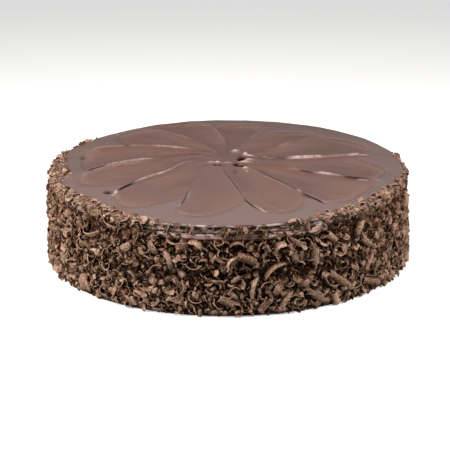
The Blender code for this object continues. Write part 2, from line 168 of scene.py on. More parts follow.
# Large shavings, as in the solids: azimuth, height, spin, lean, length, width, bend radius in degrees and mm
LARGE_SHAVINGS = (
    (-77.2, 30.5, 35, -62, 20, 4.2, 11), (-54.5, 16.5, 53, 0, 12, 19, 2.3), (-40.5, 8, 70, 0, 12, 17, 2.3),
    (-58.6, 15, -40, 80, 16, 3.2, 7.5), (-62.5, 8.2, -36, 20, 20, 4.3, 17), (-47, 45, 60, -60, 18, 4.4, 8),
    (-43.5, 36, 50, 0, 11, 10, 2.2), (-84.7, 37.5, 68, 0, 11, 12, 2.3), (-100.9, 30.5, 0, 80, 13, 3, 6),
    (-99.5, 48, -29, -50, 13, 4.2, 5), (-104, 43.5, 10, 12, 9, 6.5, 9), (-113.6, 41.5, -57, 15, 10, 5, 9),
    (-87.4, 48, 0, -70, 13, 3.4, 4.6), (-63, 35, 0, 0, 11, 10, 2.2), (-140.7, 8.5, 90, 15, 11, 6.5, 9),
    (-136.5, 41, 16, 40, 16, 3.8, 14), (-122.8, 39, 30, 15, 8, 5, 8), (-79.5, 6.5, -40, 0, 10, 8, 2.1),
)
# Kinds of the others: share, ranges in mm of length, width and bend radius, and range of lean in degrees
KINDS = (
    (0.46, (5.0, 8.0), (4.0, 5.8), (5.0, 10.0), (5, 35)),
    (0.26, (9.0, 13.0), (3.0, 4.5), (3.6, 5.5), (45, 85)),
    (0.14, (12.0, 17.0), (3.0, 4.2), (9.0, 16.0), (15, 70)),
    (0.14, (9.5, 12.0), (7.0, 12.0), (2.0, 2.5), (0, 10)),
)
LARGE_SPACING = 8.5 * MM
LARGE_THICKNESS = 0.6 * MM
SHAVING_TAPER = 0.35
BITE = 1.0 * MM
FLOOR_CLEARANCE = 0.6 * MM
BARE_BAND = (248.0, 302.0)
BARE_BAND_HEIGHT = 3.2 * MM
SIDE_ROWS = 4
SIDE_COLUMNS = 40
ROW_SPAN = (6.5 * MM, 48.0 * MM)
SIDE_SEED = 41
RIM_CLUSTERS = ((160.0, 240.0, 24), (298.0, 356.0, 17))
RIM_SEED = 12
RIM_RADIUS = OUTER_RADIUS - 0.4 * MM
RIM_INSET = 8.0 * MM
RIM_SIZES = ((4.0, 7.5), (2.8, 4.4), (3.5, 7.0))
RIM_LIFT = 2.6 * MM
RIM_TOP_SHARE = 0.55

# How far in from the lip the coat lies on the top, in mm, at azimuths all round
TOP_REACH = (
    (0, 1.6), (6, 1.5), (14, 1.2), (20, 0), (140, 0), (146, 1.8), (156, 1.3), (162, 2.2), (170, 5.5),
    (179, 10), (188, 12), (193, 3.5), (200, 5), (209, 6.5), (214, 11.5), (221, 10.5), (228, 7.5),
    (236, 5.5), (242, 3), (248, 1), (256, 0), (288, 0), (294, 3), (299, 3.5), (304, 3), (309, 3.5),
    (314, 3), (320, 4), (328, 7), (336, 4.5), (342, 2.5), (348, 1.6), (360, 1.6),
)

# Scattered shavings: spacing, ranges of length, width and bend radius, and thickness in mm, cells along and
# across, and ranges of lean in degrees, of lift over the coat's bed in mm and of tint
SCATTERED = {
    "crumbs": (1.7, (1.0, 2.2), (0.9, 1.8), (1.2, 4.0), 0.7, 2, 1, (0, 90), (-1.7, 0.0), (0.10, 0.60)),
    "chips": (2.3, (1.7, 3.8), (1.4, 3.0), (2.0, 7.0), 0.42, 3, 1, (0, 85), (-1.2, 0.9), (0.15, 0.80)),
    "flakes": (3.8, (3.2, 6.4), (2.0, 3.9), (2.0, 5.5), 0.42, 5, 2, (10, 80), (-0.3, 1.3), (0.30, 0.85)),
    "curls": (12.0, (6.0, 10.0), (2.6, 3.8), (2.8, 5.0), 0.5, 10, 2, (25, 90), (-0.2, 1.1), (0.35, 0.85)),
    "scrolls": (9.0, (7.0, 10.0), (3.5, 7.0), (1.2, 1.9), 0.6, 12, 6, (0, 25), (0.3, 1.1), (0.45, 0.85)),
    "shreds": (7.5, (2.6, 5.0), (0.8, 1.5), (3.0, 10.0), 0.45, 4, 1, (0, 90), (-0.6, 1.4), (0.25, 0.80)),
}
VARIANTS = 12
CROWDING = 2.6  # points tried in a square of the spacing
SIZE_RANGE = (0.75, 1.2)


# Node trees


def maths_method(operation, turned=False):
    """A method that puts a Math node between two values, in their order or the other way round."""

    def apply(self, other):
        return self.maths(operation, *((other, self) if turned else (self, other)))

    return apply


class Term:
    """A node's output that can stand in a Python expression; each operator adds a Math node."""

    def __init__(self, net, socket):
        self.net = net
        self.socket = socket

    def maths(self, operation, first, second):
        return self.net.term("ShaderNodeMath", {0: first, 1: second}, operation=operation)

    __add__ = maths_method("ADD")
    __radd__ = maths_method("ADD", True)
    __sub__ = maths_method("SUBTRACT")
    __rsub__ = maths_method("SUBTRACT", True)
    __mul__ = maths_method("MULTIPLY")
    __rmul__ = maths_method("MULTIPLY", True)
    __rtruediv__ = maths_method("DIVIDE", True)
    __pow__ = maths_method("POWER")


class Net:
    """A node tree that grows by calls."""

    def __init__(self, tree):
        self.tree = tree

    def add(self, kind, values=None, **settings):
        node = self.tree.nodes.new(kind)
        for name, value in settings.items():
            setattr(node, name, value)
        self.feed(node, values or {})
        return node

    def feed(self, node, values):
        """Links a node's inputs to terms, and sets those that are given plain values."""
        for key, value in values.items():
            if isinstance(value, Term):
                self.tree.links.new(value.socket, node.inputs[key])
            else:
                node.inputs[key].default_value = value

    def term(self, kind, values=None, output=0, **settings):
        return Term(self, self.add(kind, values, **settings).outputs[output])

    def attribute(self, name):
        return self.term("ShaderNodeAttribute", output="Fac", attribute_name=name)

    def place(self):
        return self.term("ShaderNodeTexCoord", output="Object")

    def axes(self, vector):
        return [Term(self, output) for output in self.add("ShaderNodeSeparateXYZ", {0: vector}).outputs]

    def noise(self, vector, scale, detail=2.0, roughness=0.5):
        values = {"Vector": vector, "Scale": scale, "Detail": detail, "Roughness": roughness}
        return self.term("ShaderNodeTexNoise", values)

    def ramp(self, value, colours):
        """Colours at even steps of a value from 0 to 1."""
        node = self.add("ShaderNodeValToRGB", {"Fac": value})
        elements = node.color_ramp.elements
        while len(elements) < len(colours):
            elements.new(1.0)
        for step, colour in enumerate(colours):
            elements[step].position = step / (len(colours) - 1)
            elements[step].color = colour
        return Term(self, node.outputs[0])

    def smooth(self, value, low, high):
        values = {"Value": value, "From Min": low, "From Max": high}
        return self.term("ShaderNodeMapRange", values, interpolation_type="SMOOTHSTEP")

    def mix(self, factor, first, second, blend="MIX"):
        values = {0: factor, 6: first, 7: second}
        return self.term("ShaderNodeMix", values, 2, data_type="RGBA", blend_type=blend)

    def bump(self, height, strength, distance):
        values = {"Height": height, "Strength": strength, "Distance": distance}
        return self.term("ShaderNodeBump", values)


def new_shader(name):
    """A material with a Principled shader; returns the material, its net and the shader node."""
    material = bpy.data.materials.new(name)
    material.use_nodes = True
    net = Net(material.node_tree)
    return material, net, material.node_tree.nodes["Principled BSDF"]


def add_painted_shade(net, shader, share, colour):
    """Lays a dark colour without any sheen over a shader: painted shade, as deep in a crease."""
    values = {"Base Color": colour, "Roughness": 1.0, "Specular IOR Level": 0.0}
    dull = net.term("ShaderNodeBsdfPrincipled", values)
    mixed = net.term("ShaderNodeMixShader", {0: share, 1: Term(net, shader.outputs[0]), 2: dull})
    net.feed(net.tree.nodes["Material Output"], {"Surface": mixed})


def rgba(colour, factor=1.0):
    return (colour[0] * factor, colour[1] * factor, colour[2] * factor, 1.0)


# Settings


def colour_property(name, description, default):
    kind = {"subtype": "COLOR", "size": 3, "min": 0.0, "max": 1.0}
    return FloatVectorProperty(name=name, description=description, default=default, **kind)


def factor_property(name, description, default):
    kind = {"subtype": "FACTOR", "min": 0.0, "max": 1.0}
    return FloatProperty(name=name, description=description, default=default, **kind)


def length_property(name, description, default, most):
    kind = {"unit": "LENGTH", "subtype": "DISTANCE", "min": 0.0, "max": most}
    return FloatProperty(name=name, description=description, default=default, **kind)


class IcingSettings(bpy.types.PropertyGroup):
    colour: colour_property("Colour", "Colour of the icing", (0.131, 0.058, 0.0425))
    # Painted sheen: the paler, greyer colour of the flat rim, also laid on the crests' steep faces as
    # painted light
    sheen_rim_colour: colour_property("Rim colour", "Colour round the strokes' hollows", (0.14, 0.083, 0.0725))
    # Painted highlights: the pale colour on thin ridges, peaks and the band's streaks
    highlight_colour: colour_property("Pale colour", "Colour of thin ridges and peaks", (0.44, 0.34, 0.31))
    # Painted shade: the dark colour laid without sheen in creases, pits and under the lip
    painted_shade_colour: colour_property("Dark colour", "Colour down in creases and pits", (0.010, 0.004, 0.003))
    roughness: factor_property("Roughness", "How dull the icing is", 0.25)
    hollow_depth: length_property("Hollow depth", "Depth of the strokes' hollows", 1.1 * MM, 4.0 * MM)
    streak_depth: length_property("Streak depth", "Depth of the knife's fine streaks", 0.085 * MM, 1.0 * MM)


class CoatSettings(bpy.types.PropertyGroup):
    dark: colour_property("Dark shavings", "Colour of the darkest shavings", (0.021, 0.0068, 0.0022))
    middle: colour_property("Usual shavings", "Colour of most shavings", (0.103, 0.058, 0.036))
    pale: colour_property("Pale shavings", "Colour of the palest shavings", (0.375, 0.270, 0.222))
    # The frosting's own dark colour, deepened as painted shade between the shavings
    frosting: colour_property("Frosting", "Colour between the shavings", (0.007, 0.0024, 0.0009))
    roughness: factor_property("Roughness", "How dull the shavings are", 0.55)
    seed: IntProperty(name="Seed", description="Changes where the small shavings lie", default=3, min=0)


class StageSettings(bpy.types.PropertyGroup):
    floor: colour_property("Floor", "Colour of the floor", (0.88, 0.88, 0.88))
    elevation: FloatProperty(
        name="Camera elevation", description="How steeply the camera looks down", unit="ROTATION",
        default=math.radians(18.79), subtype="ANGLE",
    )
    distance: length_property("Camera distance", "From the camera to the point it looks at", 1.5, 10.0)
    lens: FloatProperty(
        name="Lens", description="Focal length in millimetres", default=185.4, subtype="DISTANCE_CAMERA"
    )


# Shapes and meshes


def eased(value):
    """0 up to 0, 1 from 1 on, and smooth between, for numbers and arrays."""
    value = np.clip(value, 0.0, 1.0)
    return value * value * (3.0 - 2.0 * value)


def bell(value, place, width):
    """1 where a value is at a place, and close to 0 from two widths away."""
    return np.exp(-(((value - place) / width) ** 2))


def waves(points, scale, seed):
    """Smooth noise between -1 and 1 at points in metres; scale is the size of its lumps."""
    shift = Vector((seed * 17.3, seed * 5.1, seed * 29.7))
    return np.array([noise.noise(Vector(point) / scale + shift) for point in points])


def side_radius(height):
    """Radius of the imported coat: a foot that swells, a shallow furrow and a taper to the top."""
    swell = FOOT_SWELL * (1.0 - height / BODY_HEIGHT)
    furrow = FURROW_DEPTH * bell(height, FURROW_HEIGHT, FURROW_HALF_WIDTH)
    taper = TOP_TAPER * eased((height - TAPER_START) / (BODY_HEIGHT - TAPER_START))
    return SIDE_RADIUS + swell - furrow - taper


def degrees_from(azimuth, place):
    """Degrees from a place to azimuths in radians, the shorter way round."""
    return (np.degrees(azimuth) - place + 180.0) % 360.0 - 180.0


def band_share(azimuth):
    """1 in the middle of the bare stretch under the rim, 0 away from it."""
    first, last = BARE_BAND
    away = np.abs(degrees_from(azimuth, (first + last) / 2))
    return eased(((last - first) / 2 - away) / 6.0 + 0.5)


def directions(azimuth):
    """Level unit vectors at azimuths."""
    return np.column_stack([np.cos(azimuth), np.sin(azimuth)])


def ring(around, radius, height):
    """Points at radii and heights in the directions around, where both may be numbers or arrays."""
    return np.column_stack([around * np.reshape(radius, (-1, 1)), np.full(len(around), height)])


def ring_faces(rings, columns):
    """Quads between rings of columns points each, for rings that run outwards and then down."""
    first, column = np.meshgrid(np.arange(rings - 1) * columns, np.arange(columns), indexing="ij")
    after = (column + 1) % columns
    corners = (first + column, first + columns + column, first + columns + after, first + after)
    return np.stack(corners, axis=-1).reshape(-1, 4).tolist()


def fan_faces(middle, first, columns, turned_over=False):
    """Triangles from a middle point to a ring of columns points."""
    edge = first + np.arange(columns)
    after = np.roll(edge, -1)
    sides = (after, edge) if turned_over else (edge, after)
    return np.column_stack([np.full(columns, middle), *sides]).tolist()


def capped(rings, top, foot):
    """Points and faces of rings, closed by a fan at each end."""
    columns = len(rings[0])
    verts = np.concatenate([*rings, [top, foot]])
    faces = ring_faces(len(rings), columns)
    faces += fan_faces(len(verts) - 2, 0, columns)
    faces += fan_faces(len(verts) - 1, len(verts) - 2 - columns, columns, turned_over=True)
    return verts, faces


def new_mesh(name, verts, faces, attributes=None):
    """A mesh from points and faces; attributes hold a number for each point or for each face."""
    mesh = bpy.data.meshes.new(name)
    mesh.from_pydata(verts.tolist(), [], faces)
    for key, values in (attributes or {}).items():
        domain = "FACE" if len(values) == len(faces) else "POINT"
        layer = mesh.attributes.new(key, "FLOAT", domain)
        layer.data.foreach_set("value", np.asarray(values, np.float32))
    return mesh


def new_object(name, data):
    """An object of a mesh, light or camera, shown in the scene."""
    obj = bpy.data.objects.new(name, data)
    bpy.context.scene.collection.objects.link(obj)
    return obj


def new_piece(name, verts, faces, material, attributes):
    mesh = new_mesh(name, verts, faces, attributes)
    mesh.materials.append(material)
    mesh.shade_smooth()
    return new_object(name, mesh)


# Icing

COLUMNS_PER_STROKE = 36
TOP_RINGS = 196
CREST_EDGE = 0.5 * MM  # width of a crest's thin lip
CREST_SLOPE = 4.5 * MM  # how fast a crest falls off on its gentle side
CREST_GROWTH = 14.0 * MM
STEEP_WIDTH = 2.5 * MM  # this near to a crest the icing gets the rim's painted sheen, as painted light on its steep faces
HOLLOW_START = 46.0 * MM
LOBE_FADE = 9.0 * MM
LOBE_EDGE = 0.16 * MM  # height of the thin rim round a hollow's end
LOBE_FOOT_SHADE = 0.18  # how dark the painted shade at that rim's foot is
CRESCENT_SHEEN = 0.18  # how pale the painted sheen on the hollow is before its end
ARC_PITCH = 3.4 * MM  # the faint arcs across a hollow's end, where the knife turned
ARC_DEPTH = 0.035 * MM
# How far before a hollow's end its rim, the rim's foot, the painted sheen crescent and the arcs lie, and
# half widths
END_MARKS = ((0.0, 1.0 * MM), (1.1 * MM, 0.6 * MM), (4.5 * MM, 3.5 * MM), (10.0 * MM, 7.0 * MM))
STREAK_WIDTH = 1.5 * MM
STREAK_LENGTH = 26.0 * MM
STREAK_SHIFT = np.array((31.7, 0.0, 3.1))  # gives each stroke streaks of its own
NARROW_STROKE = 12.0 * MM  # near the middle the streaks don't crowd more than at this width
WAVE_DEPTH = 0.09 * MM
LIP_WAVE = 0.40 * MM
SMEAR = 0.5 * MM  # depth of the band's level streaks
# Painted highlights where the lip catches the light: from and to azimuth in degrees, and how pale
LIP_HIGHLIGHTS = ((-105.0, -96.5, 0.9), (-94.0, -91.0, 0.3), (-82.0, -77.0, 0.4), (-76.5, -66.0, 0.9))
LIP_SHADE = 0.62  # how much painted shade without sheen lies on the lip away from them
# Below the lip: radius, mm over the lip's underside, share of the lip's waves, and turn
LIP_FOOT = (
    (LIP_RADIUS - 0.15 * MM, 0.35, 1.0, 1.0),
    (LIP_RADIUS - 0.6 * MM, 0.0, 1.0, 1.0),
    (BAND_RADIUS - 0.5 * MM, -0.15, 0.6, 1.0),
    (BAND_RADIUS - 0.5 * MM, -0.5, 0.2, 0.85),
    (BAND_RADIUS, -0.9, 0.0, 0.80),
)


def stroke_shares(columns):
    """Where columns lie across a hollow: close together near both crests."""
    even = np.arange(columns) / columns
    return even - 0.8 * np.sin(math.tau * even) / math.tau


def curve(knots, values, place):
    """Smooth curves through each row of values at the knots, each read at its own place."""
    slopes = np.gradient(values, knots, axis=1)
    place = np.clip(place, knots[0], knots[-1])
    cell = np.clip(np.searchsorted(knots, place, side="right") - 1, 0, len(knots) - 2)
    row = np.arange(len(values))
    span = knots[cell + 1] - knots[cell]
    step = (place - knots[cell]) / span
    first, last = values[row, cell], values[row, cell + 1]
    rise, fall = slopes[row, cell] * span, slopes[row, cell + 1] * span
    bend = (2.0 * first + rise - 2.0 * last + fall) * step + (3.0 * last - 3.0 * first - 2.0 * rise - fall)
    return (bend * step + rise) * step + first


def stroke_points(index, share, distance):
    """Points and widths at shares across the hollows and at distances from the strokes' middle."""
    following = (index + 1) % len(CRESTS)
    first = curve(CREST_KNOTS, CREST_LINES[index], distance)
    second = curve(CREST_KNOTS, CREST_LINES[following], distance) + 360.0 * (following < index)
    azimuth = np.radians(first + share * (second - first))
    return STROKE_MIDDLE + distance[:, None] * directions(azimuth), np.radians(second - first) * distance


def bumps(points, table):
    """Summed heights of bumps given in mm."""
    total = np.zeros(len(points))
    for x, y, broad, deep, height in table:
        total += height * MM * bell(points[:, 0], x * MM, broad * MM) * bell(points[:, 1], y * MM, deep * MM)
    return total


def fine_lines(index, distance, away, back):
    """Height, painted shade and painted highlight of the lines along the crests; they fade at both ends."""
    height, dark, pale = np.zeros((3, len(distance)))
    for crest, first, last, place, half_width, rise, look in LINES:
        share = (distance - first * MM) / ((last - first) * MM)
        fade = eased(share * 3.0 + 0.1) * eased((1.0 - share) * 3.0 + 0.1)
        across = np.where(index == crest, away, np.where((index + 1) % len(CRESTS) == crest, -back, 1.0))
        mark = fade * bell(across, place * MM, half_width * MM)
        height += rise * MM * mark
        dark += max(-look, 0.0) * mark
        pale += max(look, 0.0) * mark
    return height, dark, pale


def crest_height(index, distance):
    """How high a crest stands: it grows out of the middle and ends at its reach."""
    reach, height, start, _ = CRESTS[index].T
    grown = eased((distance - start * MM) / CREST_GROWTH + 0.5) * eased((reach * MM - distance) / LOBE_FADE)
    return height * MM * grown


def icing_relief(index, share, distance, depth, streaks):
    """Points of the spread top, height over its flat rim, painted shade, painted highlight and the share of
    the rim's painted sheen.
    """
    points, width = stroke_points(index, share, distance)
    away, back = share * width, (1.0 - share) * width
    broad = CRESTS[index, 3]
    rise, next_rise = crest_height(index, distance), crest_height((index + 1) % len(CRESTS), distance)
    height, dark, pale = fine_lines(index, distance, away, back)
    height += rise * (broad * np.exp(-away / CREST_SLOPE) + (1.0 - broad) * np.exp(-away / CREST_EDGE))
    height += next_rise * bell(back, 0.0, CREST_EDGE)

    lobe = curve(HOLLOW_SHARES, HOLLOW_ENDS[index] * MM, share)
    inside = eased((lobe - distance) / LOBE_FADE + 0.5) * eased(distance / HOLLOW_START)
    soft_ends = 0.3 + 0.7 * np.sin(math.pi * share)
    marks = [bell(distance, lobe - early, half_width) for early, half_width in END_MARKS]
    rim, foot, crescent = soft_ends * marks[0], soft_ends * marks[1], (1.0 - share) * marks[2]
    arcs = np.sin(math.tau * (distance - lobe) / ARC_PITCH) * marks[3]
    across = share * np.maximum(width, NARROW_STROKE)
    drawn = np.column_stack([across / STREAK_WIDTH, distance / STREAK_LENGTH, np.zeros(len(share))])
    drawn += index[:, None] * STREAK_SHIFT
    streak = waves(drawn, 1.0, 4) + 2.0 * waves(drawn * (0.25, 1.0, 1.0), 1.0, 9)
    height += LOBE_EDGE * rim - depth * np.sin(math.pi * share) ** 0.8 * inside
    height += (streaks * streak + ARC_DEPTH * soft_ends * arcs) * inside

    flat = np.column_stack([points, np.zeros(len(points))])
    height += WAVE_DEPTH * (waves(flat, 11 * MM, 7) + 0.4 * waves(flat, 4 * MM, 8))
    peak, pit = bumps(points, PEAKS), bumps(points, PITS)
    height += peak - pit + bumps(points, SPECKS)
    # Painted shade in the pits and at the foot of each hollow's rim
    dark += pit / PIT_SHADE_DEPTH + LOBE_FOOT_SHADE * foot
    # Painted highlights along the lines, the hollow's rim and crescent, broken up by noise, and on the peaks
    broken = np.clip(0.70 + waves(flat, 1.7 * MM, 12), 0.0, 1.4)
    pale = (pale + 0.08 * rim + CRESCENT_SHEEN * crescent) * broken + peak / PEAK_HIGHLIGHT_HEIGHT
    # Painted sheen and light: the rim colour outside the hollows and beside the crests' steep faces
    steep = rise * bell(away, 0.0, STEEP_WIDTH) + next_rise * bell(back, 0.0, STEEP_WIDTH)
    painted_light_share = np.maximum(eased((distance - lobe) / LOBE_FADE + 0.5), np.minimum(steep / MM, 1.0))
    return points, height, np.minimum(dark, 1.0), np.minimum(pale, 1.0), painted_light_share


def lip_looks(azimuth, turn):
    """Painted shade, painted highlight and flatness along the lip: a painted highlight where it catches
    light, painted shade without sheen over the rest of it and in the crease below.
    """
    degrees = np.degrees(azimuth)
    circle = ring(directions(azimuth), NOISE_RADIUS, 0.3 * NOISE_RADIUS)
    patchy = eased(0.5 + 1.6 * waves(circle, 2.2 * MM, 21))
    white = np.zeros(len(azimuth))
    for first, last, strength in LIP_HIGHLIGHTS:
        white += strength * eased((degrees - first) / 1.5 + 0.5) * eased((last - degrees) / 1.5 + 0.5)
    # Painted highlight, broken into patches
    pale = white * patchy * (0.1 < turn < 0.7)
    # Painted shade in the crease under the lip
    creased = 0.35 + 0.45 * eased(0.6 + 1.4 * waves(circle, 6.0 * MM, 22))
    dark = np.maximum(LIP_SHADE * min(turn / 0.2, 1.0), creased * (turn > 0.5))
    dark = dark * (1.0 - 0.8 * white * patchy * (turn < 0.7))
    return dark, pale, np.ones(len(azimuth))


def lip_profile():
    """Each ring's radius, height, share of the lip's waves and turn, from the lip to the band's foot."""
    under_lip = ICING_TOP - LIP_HEIGHT
    rows = []
    for turn in np.linspace(0.15, 1.0, 9):
        radius = FLAT_RADIUS + (LIP_RADIUS - FLAT_RADIUS) * math.sin(turn * math.pi / 2)
        rows.append((radius, ICING_TOP - 0.6 * LIP_HEIGHT * (1 - math.cos(turn * math.pi / 2)), 1.0, turn))
    rows += [(radius, under_lip + rise * MM, lip, turn) for radius, rise, lip, turn in LIP_FOOT]
    band = np.linspace(rows[-1][1], BODY_HEIGHT + LAYER_GAP, 12)[1:]
    return rows + [(BAND_RADIUS, height, 0.0, None) for height in band]


def flat_reach(index, share):
    """How far from the strokes' middle each column meets the edge of the flat top."""
    low, high = np.full(len(share), 0.5 * FLAT_RADIUS), np.full(len(share), 1.5 * FLAT_RADIUS)
    for _ in range(40):
        middle = (low + high) / 2
        inside = np.hypot(*stroke_points(index, share, middle)[0].T) < FLAT_RADIUS
        low, high = np.where(inside, middle, low), np.where(inside, high, middle)
    return low


def band_smear(around, height):
    """The level streaks that the knife left round the band."""
    return SMEAR * waves(ring(around, 0.3 * NOISE_RADIUS, 4 * height), 4 * MM, 6)


def spread_icing(settings, material):
    """The slab's mesh: a grid along the strokes, a lip with small waves, the plain band and a flat foot."""
    index = np.repeat(np.arange(len(CRESTS)), COLUMNS_PER_STROKE)
    share = np.tile(stroke_shares(COLUMNS_PER_STROKE), len(CRESTS))
    reach = flat_reach(index, share)
    depths = (settings.hollow_depth, settings.streak_depth)
    rings = []
    looks = []
    for step in range(1, TOP_RINGS + 1):
        points, height, *look = icing_relief(index, share, reach * (step / TOP_RINGS), *depths)
        rings.append(np.column_stack([points, ICING_TOP + height]))
        looks.append(look)
    azimuth = np.arctan2(rings[-1][:, 1], rings[-1][:, 0])
    around = directions(azimuth)
    droop = LIP_WAVE * waves(ring(around, NOISE_RADIUS, 0.0), 14 * MM, 2)
    drawn = LIP_WAVE * waves(ring(around, NOISE_RADIUS, 1.0), 5 * MM, 3)
    # Painted shade on the band where the shavings cover it, and the rim's painted sheen all down it
    covered = (0.5 * (1.0 - band_share(azimuth)), np.zeros(len(azimuth)), np.ones(len(azimuth)))
    for radius, height, lip, turn in lip_profile():
        looks.append(covered if turn is None else lip_looks(azimuth, turn))
        radius = radius + lip * drawn + (1 - lip) * band_smear(around, height)
        rings.append(ring(around, radius, height + lip * droop))
    foot = BODY_HEIGHT + LAYER_GAP
    rings.append(ring(around, BAND_RADIUS - 2 * MM, foot))
    verts, faces = capped(rings, (*STROKE_MIDDLE, rings[0][:, 2].mean()), (0.0, 0.0, foot))
    looks = np.concatenate(looks, axis=1)
    # Painted shade, painted highlight and the rim's painted sheen, kept as the dark, pale and flat
    # attributes
    dark, pale, flat = np.pad(looks, ((0, 0), (0, len(verts) - looks.shape[1])))
    return new_piece("spread_icing", verts, faces, material, {"dark": dark, "pale": pale, "flat": flat})


def band_highlight_streaks(net, place):
    """Share of level painted highlight streaks round the band, where the knife went round it."""
    level = net.term("ShaderNodeVectorMath", {0: place, 1: (1.0, 1.0, 5.0)}, operation="MULTIPLY")
    return 0.95 * net.smooth(net.noise(level, 150.0, 3.0, 0.6), 0.43, 0.60)


def icing_material(settings):
    """Semi-gloss icing: painted sheen on the rim and the band, painted highlights on the ridges, and painted
    shade without sheen in the creases.
    """
    material, net, shader = new_shader("chocolate_icing")
    place = net.place()
    cloud = net.noise(place, 22.0, 3.0)
    grain = net.noise(place, 900.0)
    # Painted shade, painted highlight and the share of the rim's painted sheen
    dark, pale, flat = (net.attribute(name) for name in ("dark", "pale", "flat"))
    x, y, _ = net.axes(place)
    off_top = net.smooth((x * x + y * y) ** 0.5, FLAT_RADIUS + 0.5 * MM, BAND_RADIUS - 0.2 * MM)
    shade = cloud + 0.25 * (net.noise(place, 300.0, 4.0) - 0.5)
    colour = net.mix(net.smooth(shade, 0.35, 0.65), rgba(settings.colour, 0.88), rgba(settings.colour, 1.10))
    # Painted sheen of the rim colour
    colour = net.mix(0.85 * flat, colour, rgba(settings.sheen_rim_colour))
    # Painted highlight streaks on the slab's band
    colour = net.mix(band_highlight_streaks(net, place) * off_top, colour, rgba(settings.highlight_colour, 1.5))
    # Painted highlights on the ridges and peaks
    colour = net.mix(pale, colour, rgba(settings.highlight_colour))
    dull = settings.roughness + 0.10 * (cloud - 0.5) + 0.05 * (grain - 0.5) + 0.35 * off_top
    normal = net.bump(grain, 0.30, 0.05 * MM)
    net.feed(shader, {"Base Color": colour, "Roughness": dull, "Normal": normal, "IOR": 1.48})
    # Painted shade without sheen where the dark attribute is set
    add_painted_shade(net, shader, dark, rgba(settings.painted_shade_colour))
    return material


class CAKE_OT_spread_icing(bpy.types.Operator):
    """Spreads the icing: a slab with a thin lip, twelve overlapping strokes of the knife and small peaks"""

    bl_idname = "cake.spread_icing"
    bl_label = "Spread Icing"

    def execute(self, context):
        settings = context.scene.cake_icing
        piece = spread_icing(settings, icing_material(settings))
        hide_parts("icing_top")
        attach(piece, "root")
        return {"FINISHED"}


# Frosted side

FROST_COLUMNS = 720
FROST_RINGS = 72
COAT_BED = 1.7 * MM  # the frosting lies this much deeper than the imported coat
LUMP_DEPTH = 0.60 * MM
PLAIN_START = BODY_HEIGHT - 5.5 * MM
PLAIN_FADE = 3.0 * MM


def frost_side(material):
    """The side's mesh under the shavings: lumpy, and streaked level where the band is bare."""
    azimuth = np.arange(FROST_COLUMNS) / FROST_COLUMNS * math.tau
    around = directions(azimuth)
    rings = [ring(around, BAND_RADIUS - 3 * MM, BODY_HEIGHT)]
    smooth = [np.ones(FROST_COLUMNS)]
    for height in np.linspace(BODY_HEIGHT - EDGE_ROUNDING * 0.3, EDGE_ROUNDING, FROST_RINGS):
        circle = ring(around, NOISE_RADIUS, height)
        lumps = waves(circle, 2.4 * MM, 1) + 0.7 * waves(circle, 1.2 * MM, 5)
        plain = eased((height - PLAIN_START) / PLAIN_FADE)
        radius = side_radius(height) + (1 - plain) * (LUMP_DEPTH * lumps - COAT_BED)
        rings.append(ring(around, radius + plain * band_smear(around, height), height))
        smooth.append(plain * band_share(azimuth))
    rings.append(ring(around, side_radius(EDGE_ROUNDING) - COAT_BED - EDGE_ROUNDING, 0.0))
    verts, faces = capped(rings, (0.0, 0.0, BODY_HEIGHT), (0.0, 0.0, 0.0))
    smooth = np.concatenate(smooth)
    smooth = np.pad(smooth, (0, len(verts) - len(smooth)))
    return new_piece("frosted_side", verts, faces, material, {"plain": smooth})


def frosting_material(coat, icing):
    """Dark crumbly frosting between the shavings, deepened as painted shade, and the plain band painted
    lighter as painted light, with painted highlight streaks.
    """
    material, net, shader = new_shader("frosting_under_shavings")
    place = net.place()
    lumps = net.noise(place, 420.0, 4.0)
    plain = net.smooth(net.attribute("plain"), 0.3, 0.8)
    # The frosting's own dark colour, deepened as painted shade between the shavings
    crumbly = net.mix(net.smooth(lumps, 0.42, 0.66), rgba(coat.frosting), rgba(coat.middle, 0.6))
    # The plain band painted lighter than the rim colour, as painted light under the lip's shadow, with
    # painted highlight streaks
    band_sheen = net.mix(band_highlight_streaks(net, place), rgba(icing.sheen_rim_colour, 2.6), rgba(icing.highlight_colour, 1.7))
    colour = net.mix(plain, crumbly, band_sheen)
    dull = 0.62 - 0.25 * plain
    normal = net.bump(lumps, 0.6, 0.4 * MM)
    net.feed(shader, {"Base Color": colour, "Roughness": dull, "Normal": normal, "Specular IOR Level": 0.05})
    return material


class CAKE_OT_frost_side(bpy.types.Operator):
    """Frosts the side: a lumpy dark bed for the shavings, with a plain smeared band under the rim"""

    bl_idname = "cake.frost_side"
    bl_label = "Frost Side"

    def execute(self, context):
        piece = frost_side(frosting_material(context.scene.cake_coat, context.scene.cake_icing))
        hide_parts("cake_body")
        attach(piece, "root")
        return {"FINISHED"}


# Shavings

BEND_STEPS = 8  # steps in which the bend of each cell is worked out
TIGHT_BEND = 2.6 * MM  # a strip bent more than this is a rolled scroll
RIDGE_PITCH = 0.5 * MM
# Form of a strip: taper, growth of its bend, raggedness, height of ridges and camber
LARGE_SCROLL = (0.12, 0.25, 0.05, 0.16 * MM, 0.0)
SMALL_SCROLL = (0.15, 0.3, 0.05, 0.12 * MM, 0.2 * MM)
LARGE_TINTS = (0.38, 0.82)
LARGE_SHARP = math.radians(40)
SMALL_SHARP = math.radians(32)


